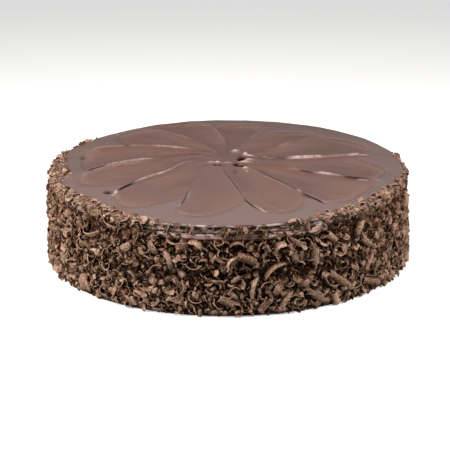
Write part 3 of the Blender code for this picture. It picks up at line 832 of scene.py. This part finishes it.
def shaving(rng, length, width, bend_radius, thickness, along, across, twist, form):
    """A thin closed strip along X, bent down at its ends: points, faces and which faces are its rim."""
    taper, growth, ragged, ridges, camber = form
    share = np.linspace(-0.5, 0.5, along + 1)
    fine = np.linspace(-0.5, 0.5, along * BEND_STEPS + 1)
    turns = (fine + growth * fine * fine) * length / bend_radius
    between = (turns[1:] + turns[:-1]) / 2
    pace = length / (len(fine) - 1)
    x = np.append(0.0, np.cumsum(np.cos(between) * pace))[::BEND_STEPS]
    z = np.append(0.0, np.cumsum(-np.sin(between) * pace))[::BEND_STEPS]
    x, z = x - x[along // 2], z - z[along // 2]
    turns = turns[::BEND_STEPS]
    jitter = np.array([rng.uniform(-1, 1) for _ in share])
    half = width / 2 * (1.0 - taper * np.abs(2 * share) ** 2.4) * (1.0 + ragged * jitter)
    lean = np.array([rng.uniform(-1, 1) for _ in share]) * ragged * width * 0.35
    cos, sin = np.cos(twist * share), np.sin(twist * share)
    rows = []
    for side in (0.5, -0.5):
        for place in np.linspace(-1.0, 1.0, across + 1):
            lift = side * thickness * (1.0 - 0.45 * abs(place) ** 3) - camber * place * place
            lift = lift + ridges * math.cos(place * across * math.pi / 2 * 1.01)
            y = half * place + lean
            up = z + np.cos(turns) * lift
            rows.append(np.column_stack([x + np.sin(turns) * lift, y * cos - up * sin, y * sin + up * cos]))

    count = along + 1
    under = (across + 1) * count
    faces = []
    for cell in range(along):
        for row in range(across):
            a = row * count + cell
            b = a + under
            faces += [(a, a + 1, a + count + 1, a + count), (b, b + count, b + count + 1, b + 1)]
    broad_faces = len(faces)
    for cell in range(along):
        a, b = cell, across * count + cell
        faces += [(a, a + under, a + under + 1, a + 1), (b, b + 1, b + under + 1, b + under)]
    for row in range(across):
        a, b = row * count, row * count + along
        faces += [(a, a + count, a + under + count, a + under), (b, b + under, b + under + count, b + count)]
    return np.concatenate(rows), faces, np.arange(len(faces)) >= broad_faces


def outward_at(azimuth):
    return np.array((math.cos(azimuth), math.sin(azimuth), 0.0))


def side_frame(azimuth, spin, lean):
    """Turns a strip to lie on the side, spun about its outward axis and leaned."""
    up, outward = Vector((0.0, 0.0, 1.0)), Vector(outward_at(azimuth))
    lie = Matrix((up.cross(outward), up, outward)).transposed()
    return np.array(lie @ Matrix.Rotation(spin, 3, "Z") @ Matrix.Rotation(lean, 3, "X"))


def seat_on_side(verts, azimuth, height):
    """Moves a turned strip in or out until it bites into the side, and up or down between floor and rim."""
    outward = outward_at(azimuth)
    depths = verts @ outward
    shift = outward * min(side_radius(height) - BITE - depths.min(), OUTER_RADIUS - depths.max())
    overrun = np.hypot(*(verts + shift)[:, :2].T).max() - OUTER_RADIUS
    shift = shift - outward * max(overrun, 0.0)
    highest = BODY_HEIGHT - 0.2 * MM - BARE_BAND_HEIGHT * float(band_share(azimuth))
    shift[2] = max(min(height, highest - verts[:, 2].max()), FLOOR_CLEARANCE - verts[:, 2].min())
    return verts + shift


def joined_piece(name, strips, seed, material):
    """One piece of many strips, each with its own tint."""
    rng = random.Random(seed)
    faces = []
    marks = {"edge": [], "tint": [], "warm": []}
    count = 0
    for verts, strip_faces, edge in strips:
        faces += [tuple(i + count for i in face) for face in strip_faces]
        marks["edge"].append(edge)
        marks["tint"].append(np.full(len(verts), rng.uniform(*LARGE_TINTS)))
        marks["warm"].append(np.full(len(verts), rng.random()))
        count += len(verts)
    marks = {key: np.concatenate(values) for key, values in marks.items()}
    piece = new_piece(name, np.concatenate([verts for verts, *_ in strips]), faces, material, marks)
    piece.data.set_sharp_from_angle(angle=LARGE_SHARP)
    return piece


def near_large_shaving(azimuth, height):
    for place, level, *_ in LARGE_SHAVINGS:
        along = math.radians(degrees_from(azimuth, place)) * SIDE_RADIUS
        if math.hypot(along, height - level * MM) < LARGE_SPACING:
            return True
    return False


def pick_kind(rng):
    draw = rng.random()
    for share, *ranges in KINDS:
        if draw < share:
            return ranges
        draw -= share
    return KINDS[-1][1:]


def detailed_shaving(rng, length, width, bend_radius, twist):
    """A large strip with ragged ends; one rolled up tight is ridged across its roll."""
    if bend_radius < TIGHT_BEND:
        along, across = 14, min(max(4, round(width / RIDGE_PITCH)), 30)
        form = LARGE_SCROLL
    else:
        along, across = min(max(6, round(length / bend_radius * 5)), 24), 3
        form = (SHAVING_TAPER, rng.uniform(-0.35, 0.35), 0.10, 0.0, 0.25 * MM)
    return shaving(rng, length, width, bend_radius, LARGE_THICKNESS, along, across, twist, form)


def lay_large_shavings(material):
    """The shavings that the solids hold too, at the same places by the same rule, with finer shapes."""
    strips = []
    shape_rng = random.Random(5)

    def lay(azimuth, height, spin, lean, sizes, twist):
        verts, faces, edge = detailed_shaving(shape_rng, *sizes, twist)
        verts = verts @ side_frame(azimuth, spin, lean).T
        strips.append((seat_on_side(verts, azimuth, height), faces, edge))

    for azimuth, height, spin, lean, *sizes in LARGE_SHAVINGS:
        azimuth, spin, lean = (math.radians(angle) for angle in (azimuth, spin, lean))
        lay(azimuth, height * MM, spin, lean, [size * MM for size in sizes], 0.0)
    rng = random.Random(SIDE_SEED)
    low, high = ROW_SPAN
    for row in range(SIDE_ROWS):
        for column in range(SIDE_COLUMNS):
            azimuth = math.tau * (column + 0.5 * (row % 2) + rng.uniform(-0.3, 0.3)) / SIDE_COLUMNS
            height = low + (high - low) * (row + rng.uniform(-0.3, 0.3)) / (SIDE_ROWS - 1)
            *spans, leans = pick_kind(rng)
            sizes = [rng.uniform(*span) * MM for span in spans]
            spin = rng.uniform(0.0, math.tau)
            lean = math.radians(rng.uniform(*leans)) * rng.choice((-1, 1))
            twist = rng.uniform(-0.5, 0.5)
            if not near_large_shaving(azimuth, height):
                lay(azimuth, height, spin, lean, sizes, twist)
    return joined_piece("large_shavings", strips, 8, material)


def lay_rim_shavings(material):
    """The shavings on the edge of the top and against the slab's side, by the same rule as the solids."""
    strips = []
    shape_rng = random.Random(6)
    rng = random.Random(RIM_SEED)
    for first, last, count in RIM_CLUSTERS:
        for index in range(count):
            share = (index + rng.uniform(0.1, 0.9)) / count
            azimuth = math.radians(first + (last - first) * share)
            sizes = [rng.uniform(*span) * MM for span in RIM_SIZES]
            verts, faces, edge = detailed_shaving(shape_rng, *sizes, rng.uniform(-0.5, 0.5))
            spin = rng.uniform(0.0, math.tau)
            lean = math.radians(rng.uniform(10, 55)) * rng.choice((-1, 1))
            inset = rng.random() ** 1.5 * RIM_INSET * math.sin(math.pi * share)
            outward = outward_at(azimuth)
            if rng.random() < RIM_TOP_SHARE:
                turn = Matrix.Rotation(azimuth + spin, 3, "Z") @ Matrix.Rotation(lean, 3, "X")
                verts = verts @ np.array(turn).T
                shift = outward * (FLAT_RADIUS - inset)
                shift[2] = ICING_TOP + min(-BITE - verts[:, 2].min(), RIM_LIFT - verts[:, 2].max())
            else:
                verts = verts @ side_frame(azimuth, spin, lean).T
                depths = verts @ outward
                shift = outward * min(BAND_RADIUS - BITE - depths.min(), RIM_RADIUS - depths.max())
                shift[2] = BODY_HEIGHT + LAYER_GAP - verts[:, 2].min()
            strips.append((verts + shift, faces, edge))
    return joined_piece("rim_shavings", strips, 9, material)


# Shares of red, green and blue that tint the shavings: two usual kinds, and a richer one for the darkest,
# which also carries the painted shade deep in the coat
REDDISH = (1.08, 0.92, 0.84, 1.0)
TANNED = (1.06, 0.99, 0.85, 1.0)
DARK_SHADE_TONE = (1.05, 0.74, 0.55, 1.0)
LARGE_SHAVINGS_LIFT = 1.14
COAT_DEEP, COAT_PROUD = 113.2 * MM, 116.6 * MM  # between these radii the coat grows paler: painted shade deep in the coat, painted light where it stands proud


def shaving_material(coat, name, lift=1.0):
    """Dull chocolate: each shaving has its own tint, a painted highlight on its rim faces, painted shade
    deeper in the coat and painted light near the top, and a fine broken surface.
    """
    material, net, shader = new_shader(name)
    place = net.place()
    tint, warm, edge = (net.attribute(mark) for mark in ("tint", "warm", "edge"))
    x, y, height = net.axes(place)
    # Painted shade deeper in the coat and painted light on shavings near the top
    bare = net.smooth((x * x + y * y) ** 0.5, COAT_DEEP, COAT_PROUD)
    high = net.smooth(height, BODY_HEIGHT - 2.0 * MM, BODY_HEIGHT + 1.0 * MM)
    bare = bare.maths("MAXIMUM", bare, 0.75 * high)
    mottle = net.noise(place, 620.0)
    grain = net.noise(place, 1050.0)
    speckle = net.smooth(mottle + 0.6 * (grain - 0.5), 0.34, 0.66)
    fine = net.smooth(grain, 0.42, 0.58)
    # Tint, painted shade and light by depth and height, fine mottling, and a painted highlight on the rim
    # faces
    shade = tint + 0.45 * (bare - 0.55) + 0.20 * (speckle - 0.5) + 0.16 * (fine - 0.5) + 0.42 * edge
    colour = net.ramp(shade, [rgba(stop, lift) for stop in (coat.dark, coat.middle, coat.pale)])
    reddish, tanned = (net.mix(1.0, colour, tone, "MULTIPLY") for tone in (REDDISH, TANNED))
    colour = net.mix(net.smooth(warm, 0.25, 0.75), reddish, tanned)
    # A richer tone where the shade is low: the darkest shavings and the painted shade deep in the coat
    colour = net.mix(net.smooth(shade, 0.05, 0.50), net.mix(1.0, colour, DARK_SHADE_TONE, "MULTIPLY"), colour)
    dull = coat.roughness + 0.16 * (mottle - 0.5)
    normal = net.bump(mottle + 0.5 * grain, 0.9, 0.5 * MM)
    net.feed(shader, {"Base Color": colour, "Roughness": dull, "Normal": normal, "Specular IOR Level": 0.04})
    return material


class CAKE_OT_lay_large_shavings(bpy.types.Operator):
    """Lays the largest shavings on the side and over the rim"""

    bl_idname = "cake.lay_large_shavings"
    bl_label = "Lay Large Shavings"

    def execute(self, context):
        material = shaving_material(context.scene.cake_coat, "large_shaved_chocolate", LARGE_SHAVINGS_LIFT)
        pieces = {"cake_body": lay_large_shavings(material), "icing_top": lay_rim_shavings(material)}
        for node, piece in pieces.items():
            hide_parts(node)
            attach(piece, "root")
        return {"FINISHED"}


# Small shavings

BED_COLUMNS = 480
BED_FOOT = 1.4 * MM
# Radius and height in mm of the bed over the lip
BED_RIM = ((113.8, 53.6), (114.1, 55.0), (114.2, 56.6), (113.7, 57.7), (112.0, 57.8))
BED_INSETS = range(1, 15)  # in mm, over the top
KEPT_CLEAR = 0.95  # how much of the coat a listed large shaving keeps off itself
THIN_ROW = (272.0, 24.5 * MM, 5.5 * MM)  # azimuth, height and half height of a thinly covered row
THIN_SHARE = 0.38
CAUGHT_SHARE = 0.85  # cover of the bare band where crumbs are caught on it
CAUGHT_HEIGHT, CAUGHT_SPAN = 54.0 * MM, 7.0 * MM  # over this height and in this span they grow fewer
# How far the coat's edge wanders and the width in which it fades, on the top and along the bare band
TOP_RAGGED, TOP_FADE = 2.5 * MM, 1.5 * MM
BAND_RAGGED, BAND_FADE = 4.5 * MM, 1.6 * MM
BACK_BORDER = 50.5 * MM  # where the coat ends below a rim without shavings
LEAST_CLEARANCE = 0.15 * MM


def clear_of_large(azimuth, height):
    """1 away from the listed large shavings and less over them, so that they stay in view."""
    share = np.ones(len(azimuth))
    for place, level, spin, _, length, width, bend in LARGE_SHAVINGS:
        x = np.radians(degrees_from(azimuth, place)) * SIDE_RADIUS
        y = height - level * MM
        cos, sin = math.cos(math.radians(spin)), math.sin(math.radians(spin))
        half = min(length, 1.8 * bend) / 2 + 0.8
        reach = width / 2 + 0.8
        along, across = (x * cos + y * sin) / (half * MM), (y * cos - x * sin) / (reach * MM)
        inside = np.exp(-(along**4) - across**4)
        share = share * (1.0 - KEPT_CLEAR * inside)
    return share


def coat_bed():
    """The surface that the small shavings lie on, with how densely they cover it as the attribute cover."""
    heights = np.linspace(BED_FOOT, BODY_HEIGHT, 40)
    path = [(side_radius(height) - 0.3 * MM, height) for height in heights]
    path += [(radius * MM, height * MM) for radius, height in BED_RIM]
    path += [(FLAT_RADIUS - inset * MM, ICING_TOP - 0.1 * MM) for inset in BED_INSETS]
    azimuth = np.arange(BED_COLUMNS) / BED_COLUMNS * math.tau
    around = directions(azimuth)
    reach = np.interp(np.degrees(azimuth), *np.array(TOP_REACH).T) * MM
    ragged = waves(ring(around, 14, 0.5), 1.0, 0)
    patchy = waves(ring(around, 26, 3.7), 1.0, 0)
    bare = band_share(azimuth)
    front = eased((60.0 - np.abs(degrees_from(azimuth, THIN_ROW[0]))) / 30.0)
    verts = []
    cover = []
    for radius, height in reversed(path):
        verts.append(ring(around, radius, height))
        if height >= ICING_TOP - 0.2 * MM:
            inset = FLAT_RADIUS + 1.0 * MM - radius
            edge = reach + TOP_RAGGED * ragged * (reach > 0.5 * MM)
            share = eased((edge - inset) / TOP_FADE + 0.5) * (reach > 0.2 * MM)
        else:
            border = BODY_HEIGHT + LAYER_GAP + BAND_RAGGED * ragged
            caught = CAUGHT_SHARE * eased(1.6 + 2.8 * patchy - (height - CAUGHT_HEIGHT) / CAUGHT_SPAN)
            low_band = eased((height - border) / BAND_FADE + 0.5) * bare * (1.0 - caught)
            high_band = eased((height - BACK_BORDER) / (2.0 * MM)) * (reach < 1.0 * MM) * (1.0 - bare)
            furrow = THIN_SHARE * front * bell(height, *THIN_ROW[1:])
            share = (1.0 - low_band) * (1.0 - high_band) * (1.0 - furrow) * clear_of_large(azimuth, height)
        cover.append(share)
    faces = ring_faces(len(path), BED_COLUMNS)
    return new_mesh("coat_bed", np.concatenate(verts), faces, {"cover": np.concatenate(cover)})


def variant_collection(kind, seed):
    """A few shavings of one kind, for the scatter to pick from."""
    _, *spans, thickness, along, across, _, _, _ = SCATTERED[kind]
    rng = random.Random(seed)
    collection = bpy.data.collections.new(kind + "_variants")
    for index in range(VARIANTS):
        length, width, bend = (rng.uniform(*span) * MM for span in spans)
        twist = rng.uniform(-0.8, 0.8)
        if kind == "scrolls":
            twist = 0.0
            form = SMALL_SCROLL
        else:
            bend = -bend if index % 3 == 0 else bend
            form = (rng.uniform(0.2, 0.85), rng.uniform(-0.5, 0.5), 0.30, 0.0, 0.2 * MM * (across > 1))
        verts, faces, edge = shaving(rng, length, width, bend, thickness * MM, along, across, twist, form)
        mesh = new_mesh(f"{kind}_{index}", verts, faces, {"edge": edge})
        mesh.shade_smooth()
        mesh.set_sharp_from_angle(angle=SMALL_SHARP)
        collection.objects.link(bpy.data.objects.new(f"{kind}_{index}", mesh))
    return collection


def scatter_tree(kind, collection, material):
    """Points spread over the coat's bed by its cover, a shaving on each, turned and leaned at random."""
    spacing, *_, leans, depths, tints = SCATTERED[kind]
    sizes = {"Spacing": spacing * MM}
    sizes |= zip(("Least Lean", "Most Lean"), map(math.radians, leans))
    sizes |= zip(("Least Depth", "Most Depth"), (depth * MM for depth in depths))
    sizes |= zip(("Darkest Tint", "Palest Tint"), tints)
    tree = bpy.data.node_groups.new("scatter_" + kind, "GeometryNodeTree")
    kinds = {"Geometry": "Geometry", **dict.fromkeys(sizes, "Float"), "Seed": "Int"}
    for name, socket_kind in kinds.items():
        tree.interface.new_socket(name, in_out="INPUT", socket_type="NodeSocket" + socket_kind)
    tree.interface.new_socket("Geometry", in_out="OUTPUT", socket_type="NodeSocketGeometry")
    net = Net(tree)
    given = {socket.name: Term(net, socket) for socket in net.add("NodeGroupInput").outputs if socket.name}

    def draw(low, high, step, kind="FLOAT"):
        """A random number for each point, between two numbers or two named inputs."""
        first, output = {"FLOAT": (2, 1), "INT": (4, 2)}[kind]
        low, high = given.get(low, low), given.get(high, high)
        values = {first: low, first + 1: high, "Seed": given["Seed"] + step}
        return net.term("FunctionNodeRandomValue", values, output, data_type=kind)

    cover = net.term("GeometryNodeInputNamedAttribute", {"Name": "cover"}, data_type="FLOAT")
    values = {"Mesh": given["Geometry"], "Distance Min": given["Spacing"], "Density Factor": cover,
              "Density Max": CROWDING / (given["Spacing"] * given["Spacing"]), "Seed": given["Seed"]}
    points = net.add("GeometryNodeDistributePointsOnFaces", values, distribute_method="POISSON")
    normal = Term(net, points.outputs["Normal"])
    rotation = net.term("FunctionNodeAlignRotationToVector", {"Vector": normal}, axis="Z")
    for axis, angle in (("Z", draw(0.0, math.tau, 1)), ("X", draw("Least Lean", "Most Lean", 2))):
        turn = net.term("FunctionNodeEulerToRotation", {0: net.term("ShaderNodeCombineXYZ", {axis: angle})})
        values = {0: rotation, 1: turn}
        rotation = net.term("FunctionNodeRotateRotation", values, rotation_space="LOCAL")
    depth = draw("Least Depth", "Most Depth", 3)
    lift = net.term("ShaderNodeVectorMath", {0: normal, "Scale": depth}, operation="SCALE")
    values = {"Geometry": Term(net, points.outputs[0]), "Offset": lift}
    placed = net.term("GeometryNodeSetPosition", values)
    values = {"Collection": collection, "Separate Children": True, "Reset Children": True}
    shapes = net.term("GeometryNodeCollectionInfo", values)
    size = net.term("ShaderNodeCombineXYZ", {axis: draw(*SIZE_RANGE, 5) for axis in "XYZ"})
    values = {"Points": placed, "Instance": shapes, "Pick Instance": True, "Rotation": rotation,
              "Scale": size, "Instance Index": draw(0, VARIANTS - 1, 4, "INT")}
    laid = net.term("GeometryNodeInstanceOnPoints", values)
    for name, kept, value in (
        ("tint", "FLOAT", draw("Darkest Tint", "Palest Tint", 6)),
        ("warm", "FLOAT", draw(0.0, 1.0, 7)),
        ("number", "INT", net.term("GeometryNodeInputIndex")),
    ):
        values = {"Geometry": laid, "Name": name, "Value": value}
        laid = net.term("GeometryNodeStoreNamedAttribute", values, data_type=kept, domain="INSTANCE")
    joined = net.term("GeometryNodeRealizeInstances", {"Geometry": laid})
    dressed = net.term("GeometryNodeSetMaterial", {"Geometry": joined, "Material": material})
    net.add("NodeGroupOutput", {"Geometry": dressed})
    return tree, sizes


def settle(mesh):
    """Lifts each shaving clear of the floor and pulls it inside the cake's outer radius."""
    count = len(mesh.vertices)
    points = np.empty(count * 3, np.float32)
    mesh.vertices.foreach_get("co", points)
    points = points.reshape(-1, 3).astype(float)
    number = np.empty(count, np.int32)
    mesh.attributes["number"].data.foreach_get("value", number)
    lowest = np.full(number.max() + 1, 1.0)
    np.minimum.at(lowest, number, points[:, 2])
    points[:, 2] += np.maximum(LEAST_CLEARANCE - lowest, 0.0)[number]
    radius = np.hypot(points[:, 0], points[:, 1])
    widest = np.zeros(len(lowest))
    np.maximum.at(widest, number, radius)
    pull = np.maximum(widest - OUTER_RADIUS, 0.0)[number] / radius
    points[:, :2] *= (1.0 - pull)[:, None]
    mesh.vertices.foreach_set("co", points.astype(np.float32).ravel())
    mesh.attributes.remove(mesh.attributes["number"])
    mesh.update()


def scatter(kind, bed, material, seed):
    """One piece of small shavings of a kind, as a plain mesh."""
    collection = variant_collection(kind, seed)
    host = new_object("host_" + kind, bed)
    tree, sizes = scatter_tree(kind, collection, material)
    modifier = host.modifiers.new("scatter", "NODES")
    modifier.node_group = tree
    names = {item.name: item.identifier for item in tree.interface.items_tree if item.in_out == "INPUT"}
    for name, value in (*sizes.items(), ("Seed", seed)):
        modifier[names[name]] = value
    mesh = bpy.data.meshes.new_from_object(host.evaluated_get(bpy.context.evaluated_depsgraph_get()))
    mesh.name = kind
    settle(mesh)
    for obj in (host, *collection.objects):
        bpy.data.objects.remove(obj)
    bpy.data.collections.remove(collection)
    return new_object(kind, mesh)


class CAKE_OT_scatter_shavings(bpy.types.Operator):
    """Scatters the small shavings: crumbs, chips, flakes, curls, rolled scrolls and shreds"""

    bl_idname = "cake.scatter_shavings"
    bl_label = "Scatter Shavings"

    def execute(self, context):
        coat = context.scene.cake_coat
        material = shaving_material(coat, "shaved_chocolate")
        bed = coat_bed()
        for step, kind in enumerate(SCATTERED):
            piece = scatter(kind, bed, material, coat.seed + 10 * step)
            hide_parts("cake_body")
            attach(piece, "root")
        return {"FINISHED"}


# Stage

PLAIN = (1.0, 1.0, 1.0)
WARM = (1.0, 0.96, 0.91)
# Name, place, size, power and colour of each light
LIGHTS = (
    ("near_top", (0.0, -0.20, 0.46), (0.2, 0.2), 1.8, PLAIN),
    ("near_top_left", (-0.35, -0.35, 0.60), (0.2, 0.2), 0.80, PLAIN),
    ("near_top_right", (0.35, -0.35, 0.60), (0.2, 0.2), 0.48, PLAIN),
    ("left_close", (-0.50, -0.22, 0.24), (0.2, 0.2), 4.1, WARM),
    ("right_close", (0.50, -0.22, 0.24), (0.2, 0.2), 2.7, WARM),
    ("back_close", (0.0, 0.34, 0.42), (0.7, 0.2), 0.08, PLAIN),
    ("back_low_close", (0.0, 0.50, 0.28), (0.9, 0.12), 0.20, PLAIN),
    ("backdrop", (0.0, 1.3, 0.22), (2.6, 0.44), 0.78, PLAIN),
)
LIGHT_TARGET = Vector((0.0, 0.0, 0.04))
CAMERA_TARGET = Vector((-2.1 * MM, 0.0, 19.9 * MM))
CAMERA_ROLL = math.radians(-0.40)
SENSOR_WIDTH = 36.0
NEAREST_SEEN = 0.05
FLOOR_HALF = 4.0
FLOOR_DROP = 0.1 * MM
FLOOR_GLOW = 0.50
WORLD_GLOW = 0.02


def new_area_light(name, place, size, power, colour):
    light = bpy.data.lights.new(name, "AREA")
    light.shape = "RECTANGLE"
    light.size, light.size_y = size
    light.energy = power
    light.color = colour
    obj = new_object(name, light)
    obj.location = place
    obj.rotation_euler = (LIGHT_TARGET - Vector(place)).to_track_quat("-Z", "Y").to_euler()
    obj.visible_camera = False


def new_camera(stage):
    camera = new_object("camera", bpy.data.cameras.new("camera"))
    camera.data.sensor_width = SENSOR_WIDTH
    camera.data.lens = stage.lens
    camera.data.clip_start = NEAREST_SEEN
    back = Vector((0.0, -math.cos(stage.elevation), math.sin(stage.elevation)))
    right = Vector((1.0, 0.0, 0.0))
    turn = Matrix((right, back.cross(right), back)).transposed().to_4x4()
    turn = turn @ Matrix.Rotation(CAMERA_ROLL, 4, "Z")
    camera.matrix_world = Matrix.Translation(CAMERA_TARGET + back * stage.distance) @ turn
    bpy.context.scene.camera = camera


def new_floor(stage):
    material, net, shader = new_shader("pale_floor")
    net.feed(shader, {"Base Color": rgba(stage.floor), "Roughness": 0.9, "Specular IOR Level": 0.1,
                      "Emission Color": rgba(PLAIN), "Emission Strength": FLOOR_GLOW})
    corners = FLOOR_HALF * np.array(((-1, -1, 0), (1, -1, 0), (1, 1, 0), (-1, 1, 0)))
    mesh = new_mesh("floor", corners, [(0, 1, 2, 3)])
    mesh.materials.append(material)
    floor = new_object("floor", mesh)
    floor.location.z = -FLOOR_DROP
    floor.visible_diffuse = False  # its light would wash out the shade between the shavings


def new_world():
    world = bpy.data.worlds.new("studio")
    world.use_nodes = True
    background = world.node_tree.nodes["Background"]
    background.inputs["Color"].default_value = rgba(PLAIN)
    background.inputs["Strength"].default_value = WORLD_GLOW
    bpy.context.scene.world = world


class CAKE_OT_set_stage(bpy.types.Operator):
    """Sets the pale floor, the soft studio lights and the camera"""

    bl_idname = "cake.set_stage"
    bl_label = "Set Stage"

    def execute(self, context):
        stage = context.scene.cake_stage
        new_floor(stage)
        new_world()
        for light in LIGHTS:
            new_area_light(*light)
        new_camera(stage)
        context.scene.view_settings.view_transform = "Standard"
        return {"FINISHED"}


class CAKE_PT_panel(bpy.types.Panel):
    """Lists the sizes and colours of the cake and the steps that make it"""

    bl_idname = "CAKE_PT_panel"
    bl_label = "Chocolate Cake"
    bl_space_type = "VIEW_3D"
    bl_region_type = "UI"
    bl_category = "Cake"

    def draw(self, context):
        for attribute, group in GROUPS.items():
            box = self.layout.box()
            for name in group.__annotations__:
                box.prop(getattr(context.scene, attribute), name)
        for operator in OPERATORS:
            self.layout.operator(operator.bl_idname)


OPERATORS = (CAKE_OT_spread_icing, CAKE_OT_frost_side, CAKE_OT_lay_large_shavings, CAKE_OT_scatter_shavings,
             CAKE_OT_set_stage)
GROUPS = {"cake_icing": IcingSettings, "cake_coat": CoatSettings, "cake_stage": StageSettings}
CLASSES = (*GROUPS.values(), *OPERATORS, CAKE_PT_panel)


def register():
    for made in CLASSES:
        bpy.utils.register_class(made)
    for name, group in GROUPS.items():
        setattr(bpy.types.Scene, name, PointerProperty(type=group))


def unregister():
    for name in GROUPS:
        delattr(bpy.types.Scene, name)
    for made in reversed(CLASSES):
        bpy.utils.unregister_class(made)


def main():
    register()
    bpy.ops.cake.spread_icing()
    bpy.ops.cake.frost_side()
    bpy.ops.cake.lay_large_shavings()
    bpy.ops.cake.scatter_shavings()
    bpy.ops.cake.set_stage()


if __name__ == "__main__":
    main()
